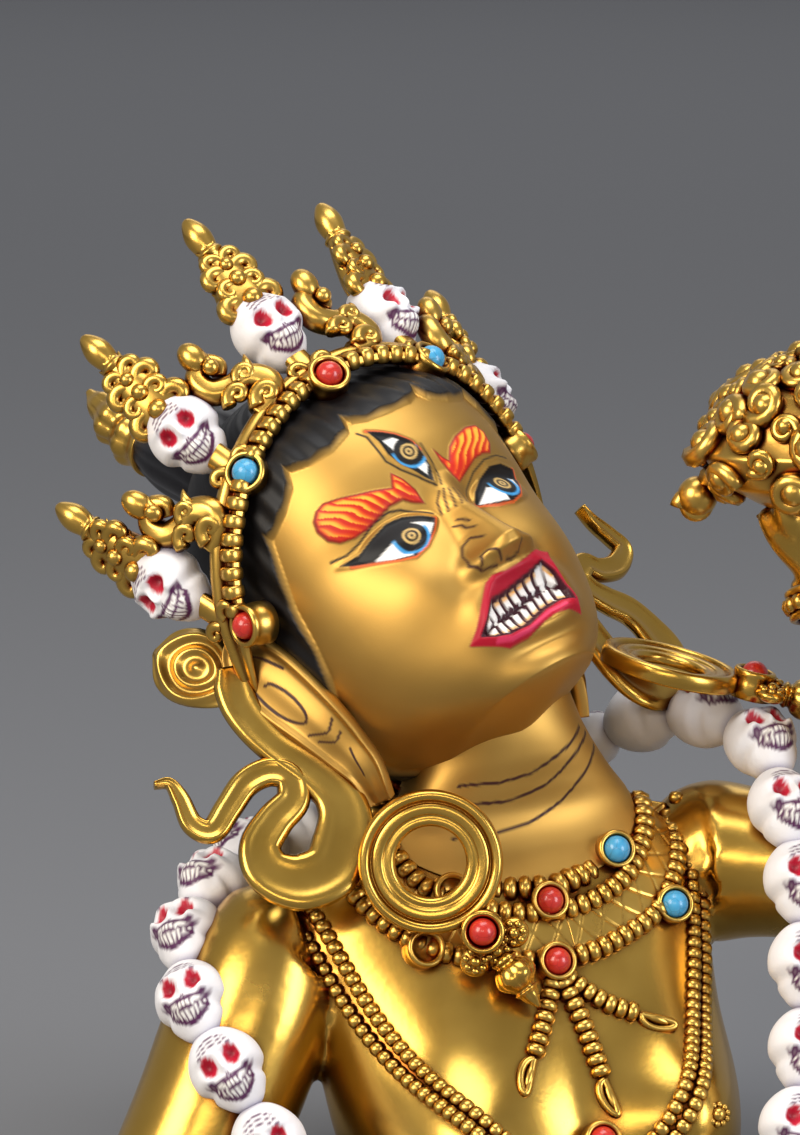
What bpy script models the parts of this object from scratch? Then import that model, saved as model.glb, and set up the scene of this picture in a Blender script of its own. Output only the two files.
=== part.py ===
"""Gilt copper bust of a dancing yogini with a skull crown, flying ribbons, ring earrings, a skull
garland and a raised skull cup, cut flat under the breasts.  Metres, +Z up, front towards -Y."""

import math

import bmesh
import bpy
import numpy as np

MM = 0.001

# Driving sizes, in millimetres.
FACE = 37.4  # the unit of every free form: the whole statue grows with it
GAP = 0.3  # clear space between pieces that touch
STONE = 3.0  # diameter of a set stone
COLLET_WALL = 0.6  # gold wall round a stone
STONE_PROUD = 1.0  # how far a stone stands out of its collet
BAND_ROLL = 1.25  # radius of the crown's outer roll
BAND_BEAD = 0.95  # radius of the crown's beaded row
SKULL_WIDE = 8.0  # width of each skull on the crown and the garland
GARLAND_PITCH = 9.4  # spacing of the skulls along the garland
RIBBON_THICK = 1.9
RING_OUTSIDE = 15.4  # diameter of each ring earring
RING_HOLE = 7.8
RING_THICK = 2.0
NECKLACE_BEAD = 1.25  # radius of the beads next to the neck
STRAND = 0.95  # radius of the finer strands
CUP_WIDE = 26.6
CUP_DEEP = 5.9

GROWTH = FACE / 37.4  # free-form places below are millimetres on a face unit of 37.4
COLLET_HIGH = STONE - STONE_PROUD + 2 * GAP + 0.6  # deep enough to hold the stone and to root the collet
FLOOR_BLOCK = 60.0 * GROWTH  # half the size of the block that cuts the flat underside


def pose(turn, nod, tilt):
    """Rows are the axes across, forward and up after a turn to the right, a nod up and a tilt, in degrees."""
    turn, nod, tilt = np.radians([turn, nod, tilt])
    forward = np.array([np.sin(turn) * np.cos(nod), -np.cos(turn) * np.cos(nod), np.sin(nod)])
    level = np.array([np.cos(turn), np.sin(turn), 0])
    above = np.array([-np.sin(nod) * np.sin(turn), np.sin(nod) * np.cos(turn), np.cos(nod)])
    across = np.cos(tilt) * level + np.sin(tilt) * above
    return np.array([across, forward, -np.sin(tilt) * level + np.cos(tilt) * above])


HEAD_PLACE = np.array([-15.5, 13.5, 63.9]) * GROWTH
HEAD_AXES = pose(25.9, 36.5, 19.2)
TORSO_AXES = pose(16.6, 20.1, 6.05)


def on_head(points):
    """Places given across, forward and up in face units, as places on the statue in millimetres."""
    return HEAD_PLACE + np.asarray(points, float) * FACE @ HEAD_AXES


def on_torso(points):
    """Places given across, forward and up in millimetres of the torso, as places on the statue."""
    return np.asarray(points, float) * GROWTH @ TORSO_AXES


def unit(vector):
    return vector / np.linalg.norm(vector, axis=-1, keepdims=True)


def read_table(table, step):
    """Rows of a table read smoothly between its rows, at fractional row numbers."""
    table = np.asarray(table, float)
    padded = np.vstack([2 * table[0] - table[1], table, 2 * table[-1] - table[-2]])
    left = np.clip(step.astype(int), 0, len(table) - 2)
    t = (step - left)[:, None]
    a, b, c, d = (padded[left + k] for k in range(4))
    return 0.5 * (2 * b + (c - a) * t + (2 * a - 5 * b + 4 * c - d) * t**2 + (3 * b - a - 3 * c + d) * t**3)


def curve_through(points, count):
    """A smooth curve through the points, read at this many places evenly along its length."""
    fine = read_table(points, np.linspace(0, len(points) - 1, 24 * len(points)))
    run = np.concatenate([[0], np.cumsum(np.linalg.norm(np.diff(fine[:, :3], axis=0), axis=1))])
    even = np.linspace(0, run[-1], count)
    return np.column_stack([np.interp(even, run, column) for column in fine.T])


# Materials


def surface(name, colour, roughness, metallic=0.0):
    material = bpy.data.materials.new(name)
    material.use_nodes = True
    shader = material.node_tree.nodes["Principled BSDF"]
    shader.inputs["Base Color"].default_value = (*colour, 1)
    shader.inputs["Roughness"].default_value = roughness
    shader.inputs["Metallic"].default_value = metallic
    return material


for leftover in list(bpy.data.objects):
    bpy.data.objects.remove(leftover)
statue = bpy.data.collections.new("Yogini bust")
cutters = bpy.data.collections.new("Cutters")
for collection in (statue, cutters):
    bpy.context.scene.collection.children.link(collection)

GILT = surface("Fire-gilt copper", (0.62, 0.40, 0.13), 0.32, 1.0)
WHITE = surface("White mineral paint on gilt copper", (0.80, 0.79, 0.78), 0.55)
CORAL = surface("Coral", (0.55, 0.05, 0.03), 0.35)
TURQUOISE = surface("Turquoise", (0.05, 0.40, 0.58), 0.40)


# Tools that make and join closed bodies


def add_body(name, mesh):
    body = bpy.data.objects.new(name, mesh)
    cutters.objects.link(body)
    return body


def outward(mesh):
    """Welds a closed mesh's doubled points and turns all its faces to point out."""
    shape = bmesh.new()
    shape.from_mesh(mesh)
    bmesh.ops.remove_doubles(shape, verts=shape.verts, dist=1e-6)
    shape.normal_update()
    bmesh.ops.recalc_face_normals(shape, faces=shape.faces)
    if shape.calc_volume(signed=True) < 0:
        bmesh.ops.reverse_faces(shape, faces=shape.faces)
    shape.to_mesh(mesh)
    shape.free()
    return mesh


def skin(name, rings, closed=False):
    """One closed body through a stack of rings of equally many points.  Its ends are flat, or meet if closed."""
    count, around, _ = rings.shape
    index = np.arange(count * around).reshape(count, around)
    ends = [] if closed else [tuple(index[0][::-1].tolist()), tuple(index[-1].tolist())]
    if closed:
        index = np.vstack([index, index[:1]])
    over = np.roll(index, -1, axis=1)
    sides = np.stack([index[:-1], over[:-1], over[1:], index[1:]], axis=-1).reshape(-1, 4)
    mesh = bpy.data.meshes.new(name)
    mesh.from_pydata((rings.reshape(-1, 3) * MM).tolist(), [], sides.tolist() + ends)
    return add_body(name, outward(mesh))


def swell(rings, amount):
    """The same stack of rings moved outwards by an amount in millimetres."""
    along = np.gradient(rings, axis=0)
    around = np.roll(rings, -1, axis=1) - np.roll(rings, 1, axis=1)
    out = unit(np.cross(around, along))
    middle = rings.mean(axis=1, keepdims=True)
    if np.sum(out * (rings - middle)) < 0:
        out = -out
    return rings + amount * out


def swept(name, path, width, depth, facing, sides=8):
    """A bar carried along a path.  Its half width lies across the facing direction, its half depth along it."""
    forward = unit(np.gradient(path, axis=0))
    facing = np.broadcast_to(facing, path.shape)
    front = unit(facing - np.sum(facing * forward, axis=1, keepdims=True) * forward)
    across = np.cross(forward, front)
    angle = (np.arange(sides) + 0.5) / sides * 2 * np.pi
    width = np.broadcast_to(width, len(path))[:, None, None]
    depth = np.broadcast_to(depth, len(path))[:, None, None]
    rings = path[:, None] + width * np.cos(angle)[:, None] * across[:, None]
    return skin(name, rings + depth * np.sin(angle)[:, None] * front[:, None])


def bead_loop(name, loop, facing, radius, sides=5):
    """A closed loop of beads: a bar whose every second ring is thin."""
    forward = unit(np.roll(loop, -1, axis=0) - np.roll(loop, 1, axis=0))
    front = unit(facing - (forward @ facing)[:, None] * forward)
    across = np.cross(forward, front)
    angle = (np.arange(sides) + 0.5) / sides * 2 * np.pi
    size = (radius * np.where(np.arange(len(loop)) % 2, 1.0, 0.7))[:, None, None]
    spoke = np.cos(angle)[:, None] * across[:, None] + np.sin(angle)[:, None] * front[:, None]
    return skin(name, loop[:, None] + size * spoke, closed=True)


def tube(name, path, radius, sides=6):
    """A round bar: a curve with a bevel and filled caps, made a mesh so that it can be joined."""
    curve = bpy.data.curves.new(name, "CURVE")
    curve.dimensions = "3D"
    curve.bevel_depth = MM
    curve.bevel_resolution = (sides - 4) // 2
    curve.use_fill_caps = True
    line = curve.splines.new("POLY")
    line.points.add(len(path) - 1)
    for point, place, size in zip(line.points, path, np.broadcast_to(radius, len(path))):
        point.co = (*(place * MM).tolist(), 1)
        point.radius = float(size)
    bar = add_body(name, curve)
    graph = bpy.context.evaluated_depsgraph_get()
    mesh = bpy.data.meshes.new_from_object(bar.evaluated_get(graph))
    bpy.data.objects.remove(bar)
    return add_body(name, outward(mesh))


def ball(name, centre, axes, radii, across=8, up=6):
    """A sphere stretched to three radii along three axes."""
    shape = bmesh.new()
    bmesh.ops.create_uvsphere(shape, u_segments=across, v_segments=up, radius=1)
    places = np.array([vertex.co[:] for vertex in shape.verts])
    for vertex, place in zip(shape.verts, centre + places * radii @ axes):
        vertex.co = (place * MM).tolist()
    mesh = bpy.data.meshes.new(name)
    shape.to_mesh(mesh)
    shape.free()
    return add_body(name, outward(mesh))


def boolean(body, others, operation):
    """Joins the others to the body, or takes them away, one after another."""
    for other in others:
        change = body.modifiers.new(operation.title(), "BOOLEAN")
        change.operation = operation
        change.solver = "EXACT"
        change.object = other
    graph = bpy.context.evaluated_depsgraph_get()
    mesh = bpy.data.meshes.new_from_object(body.evaluated_get(graph))
    body.modifiers.clear()
    body.data = mesh
    for other in others:
        bpy.data.objects.remove(other)
    return body


FLAT_ENOUGH = math.radians(4)  # faces that meet flatter than this become one


def keep_largest(body):
    """Drops the crumbs that a cut has left loose, and the edges that it has left across flat faces."""
    shape = bmesh.new()
    shape.from_mesh(body.data)
    groups, seen = [], set()
    for start in shape.verts:
        if start in seen:
            continue
        group, waiting = [], [start]
        seen.add(start)
        while waiting:
            vertex = waiting.pop()
            group.append(vertex)
            fresh = {edge.other_vert(vertex) for edge in vertex.link_edges} - seen
            seen |= fresh
            waiting.extend(fresh)
        groups.append(group)
    largest = max(groups, key=len)
    crumbs = [vertex for group in groups if group is not largest for vertex in group]
    bmesh.ops.delete(shape, geom=crumbs, context="VERTS")
    bmesh.ops.dissolve_limit(shape, angle_limit=FLAT_ENOUGH, verts=shape.verts, edges=shape.edges)
    bmesh.ops.triangulate(shape, faces=shape.faces)
    shape.to_mesh(body.data)
    shape.free()
    return body


def finish(body, name, material):
    """Names a finished piece, gives it its material and smooth shading, and moves it among the parts."""
    body.name = name
    body.data.name = name
    body.data.materials.clear()
    body.data.materials.append(material)
    body.data.shade_smooth()
    body.data.set_sharp_from_angle(angle=math.radians(40))
    cutters.objects.unlink(body)
    statue.objects.link(body)
    return body


# Torso and neck in one stack of rings, breasts raised on it.
# Height, centre across, centre forward, half width, depth in front, depth behind.
TORSO_LEVELS = (
    (-15, 0, 0, 16.5, 11.0, 10.0),
    (-7, 0, 0, 18.3, 12.5, 11.5),
    (2, 0, 0, 20.5, 14.0, 12.0),
    (10, 0, 0, 22.3, 14.5, 12.5),
    (18, 0, 0, 22.8, 14.0, 13.0),
    (25, 0, 0, 23.6, 12.6, 13.0),
    (32, 0, 0, 24.5, 11.0, 12.2),
    (37, 0, 0, 22.5, 9.6, 11.2),
    (40.5, 0.5, 0.5, 18.5, 9.2, 10.6),
    (43.5, 1.8, 2.3, 14.3, 9.0, 10.0),
    (46.5, 2.5, 4.3, 11.2, 8.8, 9.3),
    (50, 2.2, 5.6, 9.7, 8.8, 8.8),
    (55, 1.2, 6.4, 9.2, 8.8, 8.8),
    (61, -1.0, 6.4, 8.4, 8.2, 8.2),
)
BREAST_ACROSS = 14.6
BREAST_HEIGHT = 4.0
BREAST_RAISED = 6.6
BREAST_SPREAD = 8.4


def breast(across, height):
    """How far the breasts stand forward of the plain chest."""
    away = (np.abs(across) - BREAST_ACROSS) ** 2 + (height - BREAST_HEIGHT) ** 2
    return BREAST_RAISED * np.exp(-away / BREAST_SPREAD**2)


def torso_rings(rows=15, around=20):
    """Torso and neck as rings of points, in the torso's own millimetres."""
    levels = read_table(TORSO_LEVELS, np.linspace(0, len(TORSO_LEVELS) - 1, rows))
    angle = np.arange(around) / around * 2 * np.pi
    c, s = np.cos(angle), np.sin(angle)
    c, s = np.sign(c) * np.abs(c) ** 0.9, np.sign(s) * np.abs(s) ** 0.9
    depth = np.where(c > 0, levels[:, 4:5], levels[:, 5:6])
    across = levels[:, 1:2] + levels[:, 3:4] * s
    up = np.broadcast_to(levels[:, 0:1], across.shape)
    forward = levels[:, 2:3] + depth * c + breast(across, up) * np.clip(3 * c, 0, 1)
    return np.stack([across, forward, up], axis=-1)


def chest_front(across, height):
    """How far forward the front of the torso stands at a place given across and up."""
    levels = np.array(TORSO_LEVELS, float)
    row = np.interp(np.atleast_1d(height), levels[:, 0], np.arange(len(levels)))
    read = read_table(levels, row)
    share = np.clip(np.abs(across - read[:, 1]) / read[:, 3], 0, 0.98)
    cosine = np.sqrt(1 - share ** (2 / 0.9)) ** 0.9
    return read[:, 2] + read[:, 4] * cosine + breast(across, height) * np.clip(3 * cosine, 0, 1)


# Arms: places on the torso and radii.  The statue's right arm hangs, its left arm lifts the cup.
LOWERED_ARM = ((-22, 0.5, 32.5, 6.2), (-25.2, -0.4, 31.5, 8.2), (-29.4, -1.0, 25, 8.9), (-34.6, -3.0, 16, 8.8),
               (-40.5, -5.0, 7, 8.4), (-44, -6.3, 0, 8.0), (-47, -7.5, -7, 7.7), (-50, -9, -14, 7.4))
RAISED_UPPER_ARM = ((21, 0.5, 33, 6.5), (25.5, 0.5, 33.2, 9.0), (31, 3.5, 31.5, 8.2), (39, 8, 28, 7.2),
                    (45, 11.2, 26, 6.6), (47.5, 12.2, 26.5, 5.6))
RAISED_FOREARM = ((46.2, 11.5, 24.2, 5.4), (46, 12.2, 28.5, 6.3), (44.2, 15, 37, 6.4), (41.5, 18.3, 47, 5.3),
                  (39, 20.8, 56, 4.0), (38.2, 21.6, 60, 4.2))


def limb(name, table, extra=0.0):
    table = curve_through(table, 7)
    radius = table[:, 3] * GROWTH + extra
    return swept(name, on_torso(table[:, :3]), radius, radius, TORSO_AXES[1], 10)


# Head: three outlines, front, side and back, as (out from the middle, up) in face units
FRONT_OUTLINE = ((0.01, 0.74), (0.13, 0.705), (0.24, 0.62), (0.35, 0.53), (0.435, 0.43), (0.465, 0.30), (0.465, 0.17),
                 (0.46, 0.04), (0.467, -0.09), (0.475, -0.22), (0.475, -0.35), (0.462, -0.455), (0.42, -0.54),
                 (0.29, -0.60), (0.01, -0.64))
SIDE_OUTLINE = ((0.01, 0.74), (0.16, 0.72), (0.30, 0.66), (0.39, 0.56), (0.445, 0.44), (0.468, 0.30), (0.472, 0.17),
                (0.466, 0.04), (0.458, -0.09), (0.44, -0.22), (0.40, -0.335), (0.335, -0.42), (0.24, -0.48),
                (0.12, -0.545), (0.01, -0.64))
BACK_OUTLINE = ((0.01, 0.74), (0.18, 0.73), (0.34, 0.67), (0.45, 0.56), (0.52, 0.42), (0.555, 0.28), (0.56, 0.14),
                (0.54, 0.0), (0.50, -0.12), (0.44, -0.22), (0.37, -0.30), (0.31, -0.37), (0.23, -0.43),
                (0.12, -0.52), (0.01, -0.64))
HAIR_THICK = 0.022


def bump(across, up, at_across, at_up, wide, high):
    """A soft round rise, one at its middle and falling away over its width and height."""
    return np.exp(-(((across - at_across) / wide) ** 2) - ((up - at_up) / high) ** 2)


def face_relief(across, up):
    """How far the features stand forward of the plain head, in face units."""
    side = np.abs(across)
    bridge = np.interp(up, [-0.225, -0.19, -0.16, -0.13, -0.05, 0.03, 0.10, 0.17],
                       [0, 0.05, 0.135, 0.145, 0.10, 0.055, 0.025, 0])
    bridge_wide = np.interp(up, [-0.2, -0.13, -0.05, 0.05, 0.1], [0.075, 0.07, 0.05, 0.04, 0.05])
    relief = bridge * np.exp(-((side / bridge_wide) ** 2.4))
    relief = relief + 0.06 * bump(side, up, 0.085, -0.155, 0.042, 0.038)  # nose wings
    relief = relief - 0.035 * bump(side, up, 0.19, 0.085, 0.13, 0.06)  # eye sockets
    eyeball = np.clip(1 - ((side - 0.19) / 0.125) ** 2 - ((up - 0.055) / 0.06) ** 2, 0, 1) ** 0.5
    relief = relief + 0.03 * eyeball
    mouth = ((side / 0.17) ** 2.5 + (np.abs(up + 0.30) / 0.10) ** 2.5) ** 0.4
    relief = relief + 0.03 * np.exp(-(((mouth - 0.9) / 0.28) ** 2))
    relief = relief + 0.03 * bump(side, up, 0.24, -0.12, 0.13, 0.11)  # cheeks
    relief = relief - 0.03 * bump(across, up, 0, -0.435, 0.16, 0.03)
    return relief + 0.03 * bump(across, up, 0, -0.505, 0.12, 0.06)  # chin


def hairline(angle):
    """How far up hair starts, by the angle from straight ahead: high in front, low at the ears."""
    turn = np.abs(np.degrees(angle))
    return np.interp(turn, [0, 45, 65, 73, 80, 86, 92], [0.43, 0.40, 0.28, 0.10, -0.19, -0.45, -1.0])


def head_rings(rows=20, around=26):
    """The head from crown to underside as rings of (across, forward, up) in face units."""
    step = np.linspace(0, len(FRONT_OUTLINE) - 1, rows)
    front, side, back = (read_table(outline, step) for outline in (FRONT_OUTLINE, SIDE_OUTLINE, BACK_OUTLINE))
    angle = (np.arange(around) / around * 2 - 1) * np.pi
    c, s = np.cos(angle), np.sin(angle)
    ahead, behind, beside = np.clip(c, 0, 1) ** 2, np.clip(-c, 0, 1) ** 2, s**2
    up = front[:, 1:] * ahead + back[:, 1:] * behind + side[:, 1:] * beside
    across = side[:, :1] * np.sign(s) * np.abs(s) ** 0.9
    reach = np.where(c > 0, front[:, :1], back[:, :1])
    forward = reach * np.sign(c) * np.abs(c) ** 0.9
    forward = forward + face_relief(across, up) * np.clip(2 * c, 0, 1)
    covered = np.clip((up - hairline(angle)) / 0.05 + 0.5, 0, 1)
    place = np.stack([across, forward, up], axis=-1)
    return place + HAIR_THICK * covered[..., None] * unit(place)


# Ears and topknot in face units on the head, the fall of hair down the back on the torso.  Places, then sizes.
EAR = ((0.465, -0.095, 0.11, 0.03), (0.475, -0.09, 0.06, 0.062), (0.475, -0.03, -0.07, 0.08),
       (0.465, -0.005, -0.22, 0.072), (0.45, -0.01, -0.33, 0.06), (0.44, -0.015, -0.413, 0.052),
       (0.42, -0.07, -0.50, 0.03))
EAR_THICK = 0.035
TOPKNOT = ((0, -0.30, 0.58, 0.16), (0, -0.42, 0.76, 0.17), (0, -0.58, 0.90, 0.14), (0, -0.70, 1.0, 0.085))
TOPKNOT_JEWEL = ((0, -0.69, 0.99, 0.095), (0, -0.72, 1.03, 0.10), (0, -0.76, 1.10, 0.085), (0, -0.79, 1.18, 0.075),
                 (0, -0.82, 1.25, 0.04), (0, -0.83, 1.30, 0.012))
HAIR_FALL = ((-3.5, -9, 66, 15.5, 9), (-2, -10.5, 56, 14, 8), (0, -12.0, 46, 12.5, 6.5), (0, -14.2, 36, 12.5, 5.0),
             (0, -15.0, 24, 11.5, 4.2), (0, -14.6, 12, 9.0, 3.6), (0, -13.6, 3, 6.0, 2.5))


def ear(name, side, extra=0.0):
    table = curve_through(EAR, 7)
    path = on_head(table[:, :3] * (side, 1, 1))
    return swept(name, path, table[:, 3] * FACE + extra, EAR_THICK * FACE + extra, HEAD_AXES[0] * side, 6)


def hair_fall(extra=0.0):
    table = curve_through(HAIR_FALL, 7)
    width, depth = table[:, 3] * GROWTH + extra, table[:, 4] * GROWTH + extra
    return swept("Hair fall", on_torso(table[:, :3]), width, depth, TORSO_AXES[1])


# Necklaces, as places across and up on the front of the torso
NECK_RING = ((3.5, 31.8), (10.2, 33.8), (14.6, 38), (16.0, 42.5), (14.5, 46.5), (9, 49), (2.5, 49.6), (-4, 49),
             (-9.3, 46.5), (-11, 42.5), (-10, 38), (-4.5, 33.4))
SECOND_ROW = ((-13, 40), (-10, 34), (-4, 30.5), (4, 29.2), (11.2, 31.2), (16, 36), (18, 41))
THIRD_ROW = ((-18.5, 39), (-16.5, 33), (-12, 28), (-5, 25), (4, 24), (10.5, 25.5), (15.8, 28.2), (20, 34), (21.5, 40))
LONG_STRAND = ((23.5, 41), (22.8, 35), (21.2, 28), (18.8, 20), (15.2, 12), (10.5, 5), (4, -1.5))
TASSELS = (((1.2, 23), (-1, 18.5), (-3.8, 13.5)), ((1.2, 23), (2.6, 17), (3.4, 10)),
           ((1.2, 23), (5.5, 18.6), (9.5, 16.4)))


def strand(name, across_height, count, radius, lift=0.3):
    """A strand laid on the front of the chest through places given across and up."""
    flat = curve_through(across_height, count)
    forward = chest_front(flat[:, 0], flat[:, 1]) + lift
    return tube(name, on_torso(np.column_stack([flat[:, 0], forward, flat[:, 1]])), radius, 4)


def neck_ring(count=26):
    """The ring of beads where the neck meets the chest, lower in front and resting on the shoulders behind."""
    flat = curve_through(NECK_RING + NECK_RING[:1], count + 1)[:-1]
    angle = np.arctan2(flat[:, 0] - 3.0, 41.0 - flat[:, 1])
    front = 0.5 + 0.5 * np.cos(angle)
    forward = (chest_front(flat[:, 0], flat[:, 1]) + 0.3) * front - 4.0 * (1 - front)
    loop = on_torso(np.column_stack([flat[:, 0], forward, flat[:, 1]]))
    return bead_loop("Neck ring", loop, TORSO_AXES[2], NECKLACE_BEAD, 4)


# Hand under the cup: a palm, four fingers curled round the bowl, a thumb and a beaded bracelet.
# Places are on the torso, and from the middle of the palm for the fingers.
PALM = np.array([39.0, 22.4, 62.0])
PALM_RADII = np.array([4.8, 3.8, 5.0])
FINGER = 1.75
FINGER_TAPER = np.array([1.15, 1.1, 0.95, 0.6])
FINGERS = ((-3.6, 1.0), (-1.3, 1.15), (1.1, 1.1), (3.4, 0.95))
THUMB = ((-3, 1, -1), (-6, 2.5, 2.2), (-7.4, 2.2, 5.4))
WRIST = np.array([38.6, 21.2, 57.0])
WRIST_RADIUS = 4.6
BRACELET_BEAD = 1.15


def hand(extra=0.0):
    """The palm, fingers and thumb as overlapping bodies."""
    parts = [ball("Palm", on_torso(PALM), TORSO_AXES, PALM_RADII * GROWTH + extra)]
    radius = FINGER_TAPER * FINGER * GROWTH
    for side, reach in FINGERS:
        steps = [(0.8 * side, 2, 1), (1.2 * side - 1, 4.4 * reach, 3), (1.4 * side - 1.5, 5.8 * reach, 6)]
        parts.append(tube("Finger", curve_through(on_torso(PALM + np.array(steps)), 4), radius + extra))
    thumb = curve_through(on_torso(PALM + np.array(THUMB)), 4)
    return parts + [tube("Thumb", thumb, 1.1 * radius + extra)]


def bracelet():
    turn = np.linspace(0, 2 * np.pi, 13)[:-1, None]
    spoke = np.cos(turn) * TORSO_AXES[0] + np.sin(turn) * TORSO_AXES[1]
    loop = on_torso(WRIST) + WRIST_RADIUS * GROWTH * spoke
    return bead_loop("Bracelet", loop, TORSO_AXES[2], BRACELET_BEAD * GROWTH, 4)


# Stones, and the round gold collets that hold them
NECK_STONES = {
    "neck_coral_upper": (2.4, 30.4),
    "neck_coral_lower": (1.3, 23.6),
    "neck_turquoise_upper": (11.9, 35.0),
    "neck_turquoise_lower": (17.2, 28.0),
    "pendant_coral": (1.6, 3.6),
}
EMPTY_SOCKETS = ((-7.9, 33.2), (-12.3, 27.6))
NECK_RIM = 1.9  # how far a collet's rim stands out of the chest


def axes_facing(axis):
    """Rows across, up and out, for a round thing whose axis points out."""
    side = unit(np.cross(HEAD_AXES[2], axis))
    return np.array([side, np.cross(axis, side), axis])


def collet(rim, axis, sides=8):
    """The round gold cup under a stone: a cylinder from its rim inwards."""
    shape = bmesh.new()
    radius = STONE / 2 + GAP + COLLET_WALL
    bmesh.ops.create_cone(shape, cap_ends=True, segments=sides, radius1=radius, radius2=radius, depth=COLLET_HIGH)
    axes = axes_facing(axis)
    for vertex in shape.verts:
        place = rim + (np.array(vertex.co[:]) - (0, 0, COLLET_HIGH / 2)) @ axes
        vertex.co = (place * MM).tolist()
    mesh = bpy.data.meshes.new("Collet")
    shape.to_mesh(mesh)
    shape.free()
    return add_body("Collet", outward(mesh))


def stone(name, rim, axis, extra=0.0):
    """A round stone standing proud of its collet's rim.  Its cutter is larger by the clear space."""
    middle = rim - (STONE / 2 - STONE_PROUD) * axis
    return ball(name, middle, axes_facing(axis), np.full(3, STONE / 2 + extra), 8, 4)


def neck_stone_seat(across_up):
    across, up = across_up
    rim = on_torso((across, chest_front(across, up)[0], up)) + NECK_RIM * TORSO_AXES[1]
    return rim, TORSO_AXES[1]


def floor_block():
    """Everything under the flat underside."""
    shape = bmesh.new()
    bmesh.ops.create_cube(shape, size=2 * FLOOR_BLOCK * MM)
    bmesh.ops.scale(shape, vec=(3, 3, 1), verts=shape.verts)
    bmesh.ops.translate(shape, vec=(0, 0, -FLOOR_BLOCK * MM), verts=shape.verts)
    mesh = bpy.data.meshes.new("Floor block")
    shape.to_mesh(mesh)
    shape.free()
    return add_body("Floor block", outward(mesh))


# The body: everything that is cast in one piece with the figure


def build_figure():
    body = skin("Torso", on_torso(torso_rings()))
    parts = [skin("Head", on_head(head_rings())), hair_fall(), ear("Ear", 1), ear("Ear", -1)]
    parts += [limb("Lowered arm", LOWERED_ARM), limb("Raised upper arm", RAISED_UPPER_ARM),
              limb("Raised forearm", RAISED_FOREARM)]
    for name, table in (("Topknot", TOPKNOT), ("Topknot jewel", TOPKNOT_JEWEL)):
        table = curve_through(table, 6)
        radius = table[:, 3] * FACE
        parts.append(swept(name, on_head(table[:, :3]), radius, radius, HEAD_AXES[1]))
    parts += hand() + [bracelet(), neck_ring()]
    every_other = STRAND * np.where(np.arange(21) % 2, 1.0, 0.72)
    parts += [strand("Second row", SECOND_ROW, 21, every_other), strand("Third row", THIRD_ROW, 14, STRAND)]
    for side in (-1, 1):
        parts.append(strand("Long strand", np.array(LONG_STRAND) * (side, 1), 12, 1.8 * STRAND, -0.2))
        nipple = (side * BREAST_ACROSS, chest_front(BREAST_ACROSS, BREAST_HEIGHT)[0], BREAST_HEIGHT)
        parts.append(ball("Nipple", on_torso(nipple), TORSO_AXES, np.full(3, 1.3 * GROWTH), 6, 4))
    parts += [strand("Tassel", points, 5, STRAND) for points in TASSELS]
    seats = [neck_stone_seat(place) for place in (*NECK_STONES.values(), *EMPTY_SOCKETS)]
    parts += [collet(rim, axis) for rim, axis in seats]
    body = boolean(body, parts, "UNION")
    recesses = [stone("Recess", rim, axis, GAP) for rim, axis in seats]
    return keep_largest(boolean(body, recesses + [floor_block()], "DIFFERENCE"))


def near_figure(extra):
    """The plain forms of the body, grown by an amount, to cut clear space into what touches them."""
    head = skin("Grown head", swell(on_head(head_rings()), extra))
    torso = skin("Grown torso", swell(on_torso(torso_rings()), extra))
    arms = [limb("Grown arm", table, extra) for table in (LOWERED_ARM, RAISED_UPPER_ARM)]
    ears = [ear("Grown ear", side, extra) for side in (1, -1)]
    return [head, torso, hair_fall(extra)] + arms + ears


# Skulls, shared by the crown and the garland.  On the garland each is just tall enough to run into the next.
SKULL_TALL = 1.08 * GARLAND_PITCH / SKULL_WIDE


def skull(name, centre, axes, wide, across=8, up=6):
    """A skull: a round vault, sunk eyes, hollow cheeks and a square jaw.  The axes are across, front and up."""
    body = ball(name, np.zeros(3), np.eye(3), np.full(3, 1 / MM), across, up)
    for vertex in body.data.vertices:
        x, y, z = vertex.co[:]
        jaw = min(max((-z - 0.1) / 0.6, 0), 1)
        x *= 1 - 0.28 * jaw
        y *= 0.92 - 0.1 * jaw
        y -= 0.2 * math.exp(-(((abs(x) - 0.36) / 0.22) ** 2) - ((z - 0.12) / 0.22) ** 2) if y > 0 else 0
        place = centre + wide / 2 * np.array([x, y, SKULL_TALL * z]) @ axes
        vertex.co = (place * MM).tolist()
    outward(body.data)
    return body


# Crown: a band with five leaves.  Each ring of numbers is across, forward, forward again with the
# cosine of the way round, up, and up again with that cosine, in face units.
CROWN_TURN = -6.2
LEAF_STEP = 37.5
BAND_RING = (0.541, -0.008, 0.329, 0.032, 0.587)
SKULL_RING = (0.634, -0.124, 0.394, 0.268, 0.571)
TIP_RING = (0.769, -0.208, 0.461, 0.654, 0.626)
BAND_END = 2.55 * LEAF_STEP
BEAD_END = 2.35 * LEAF_STEP
BEAD_STEP = np.array([0, 0.70, -0.55])  # the way from the roll to the beaded row, towards the face
FINIAL = ((0.0, 0.078), (0.10, 0.088), (0.24, 0.070), (0.34, 0.078), (0.48, 0.054), (0.60, 0.056), (0.76, 0.032),
          (0.90, 0.024), (1.0, 0.008))
SCROLL = ((0.0, 0.0), (0.04, 0.16), (-0.10, 0.20), (-0.11, 0.32), (-0.02, 0.38), (0.03, 0.31))
SIDE_DROP = np.array([0.60, -0.25, 0.155])
DROP_WIDTHS = np.array([0.035, 0.05, 0.075, 0.085, 0.06, 0.01])
LEAVES = [LEAF_STEP * k for k in range(-2, 3)]
BAND_BULGE = 0.022  # the band stands this much further out over the corners of the forehead
# Corners of the band's outline: along to the face, outwards, and whether they are the beaded row's
BAND_PROFILE = ((-0.85, -0.55, False), (-0.85, 0.55, False), (0, 1, False), (0.8, 0.5, False), (0.8, 0.9, True),
                (0.8, -0.9, True), (0, -1, False))


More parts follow.
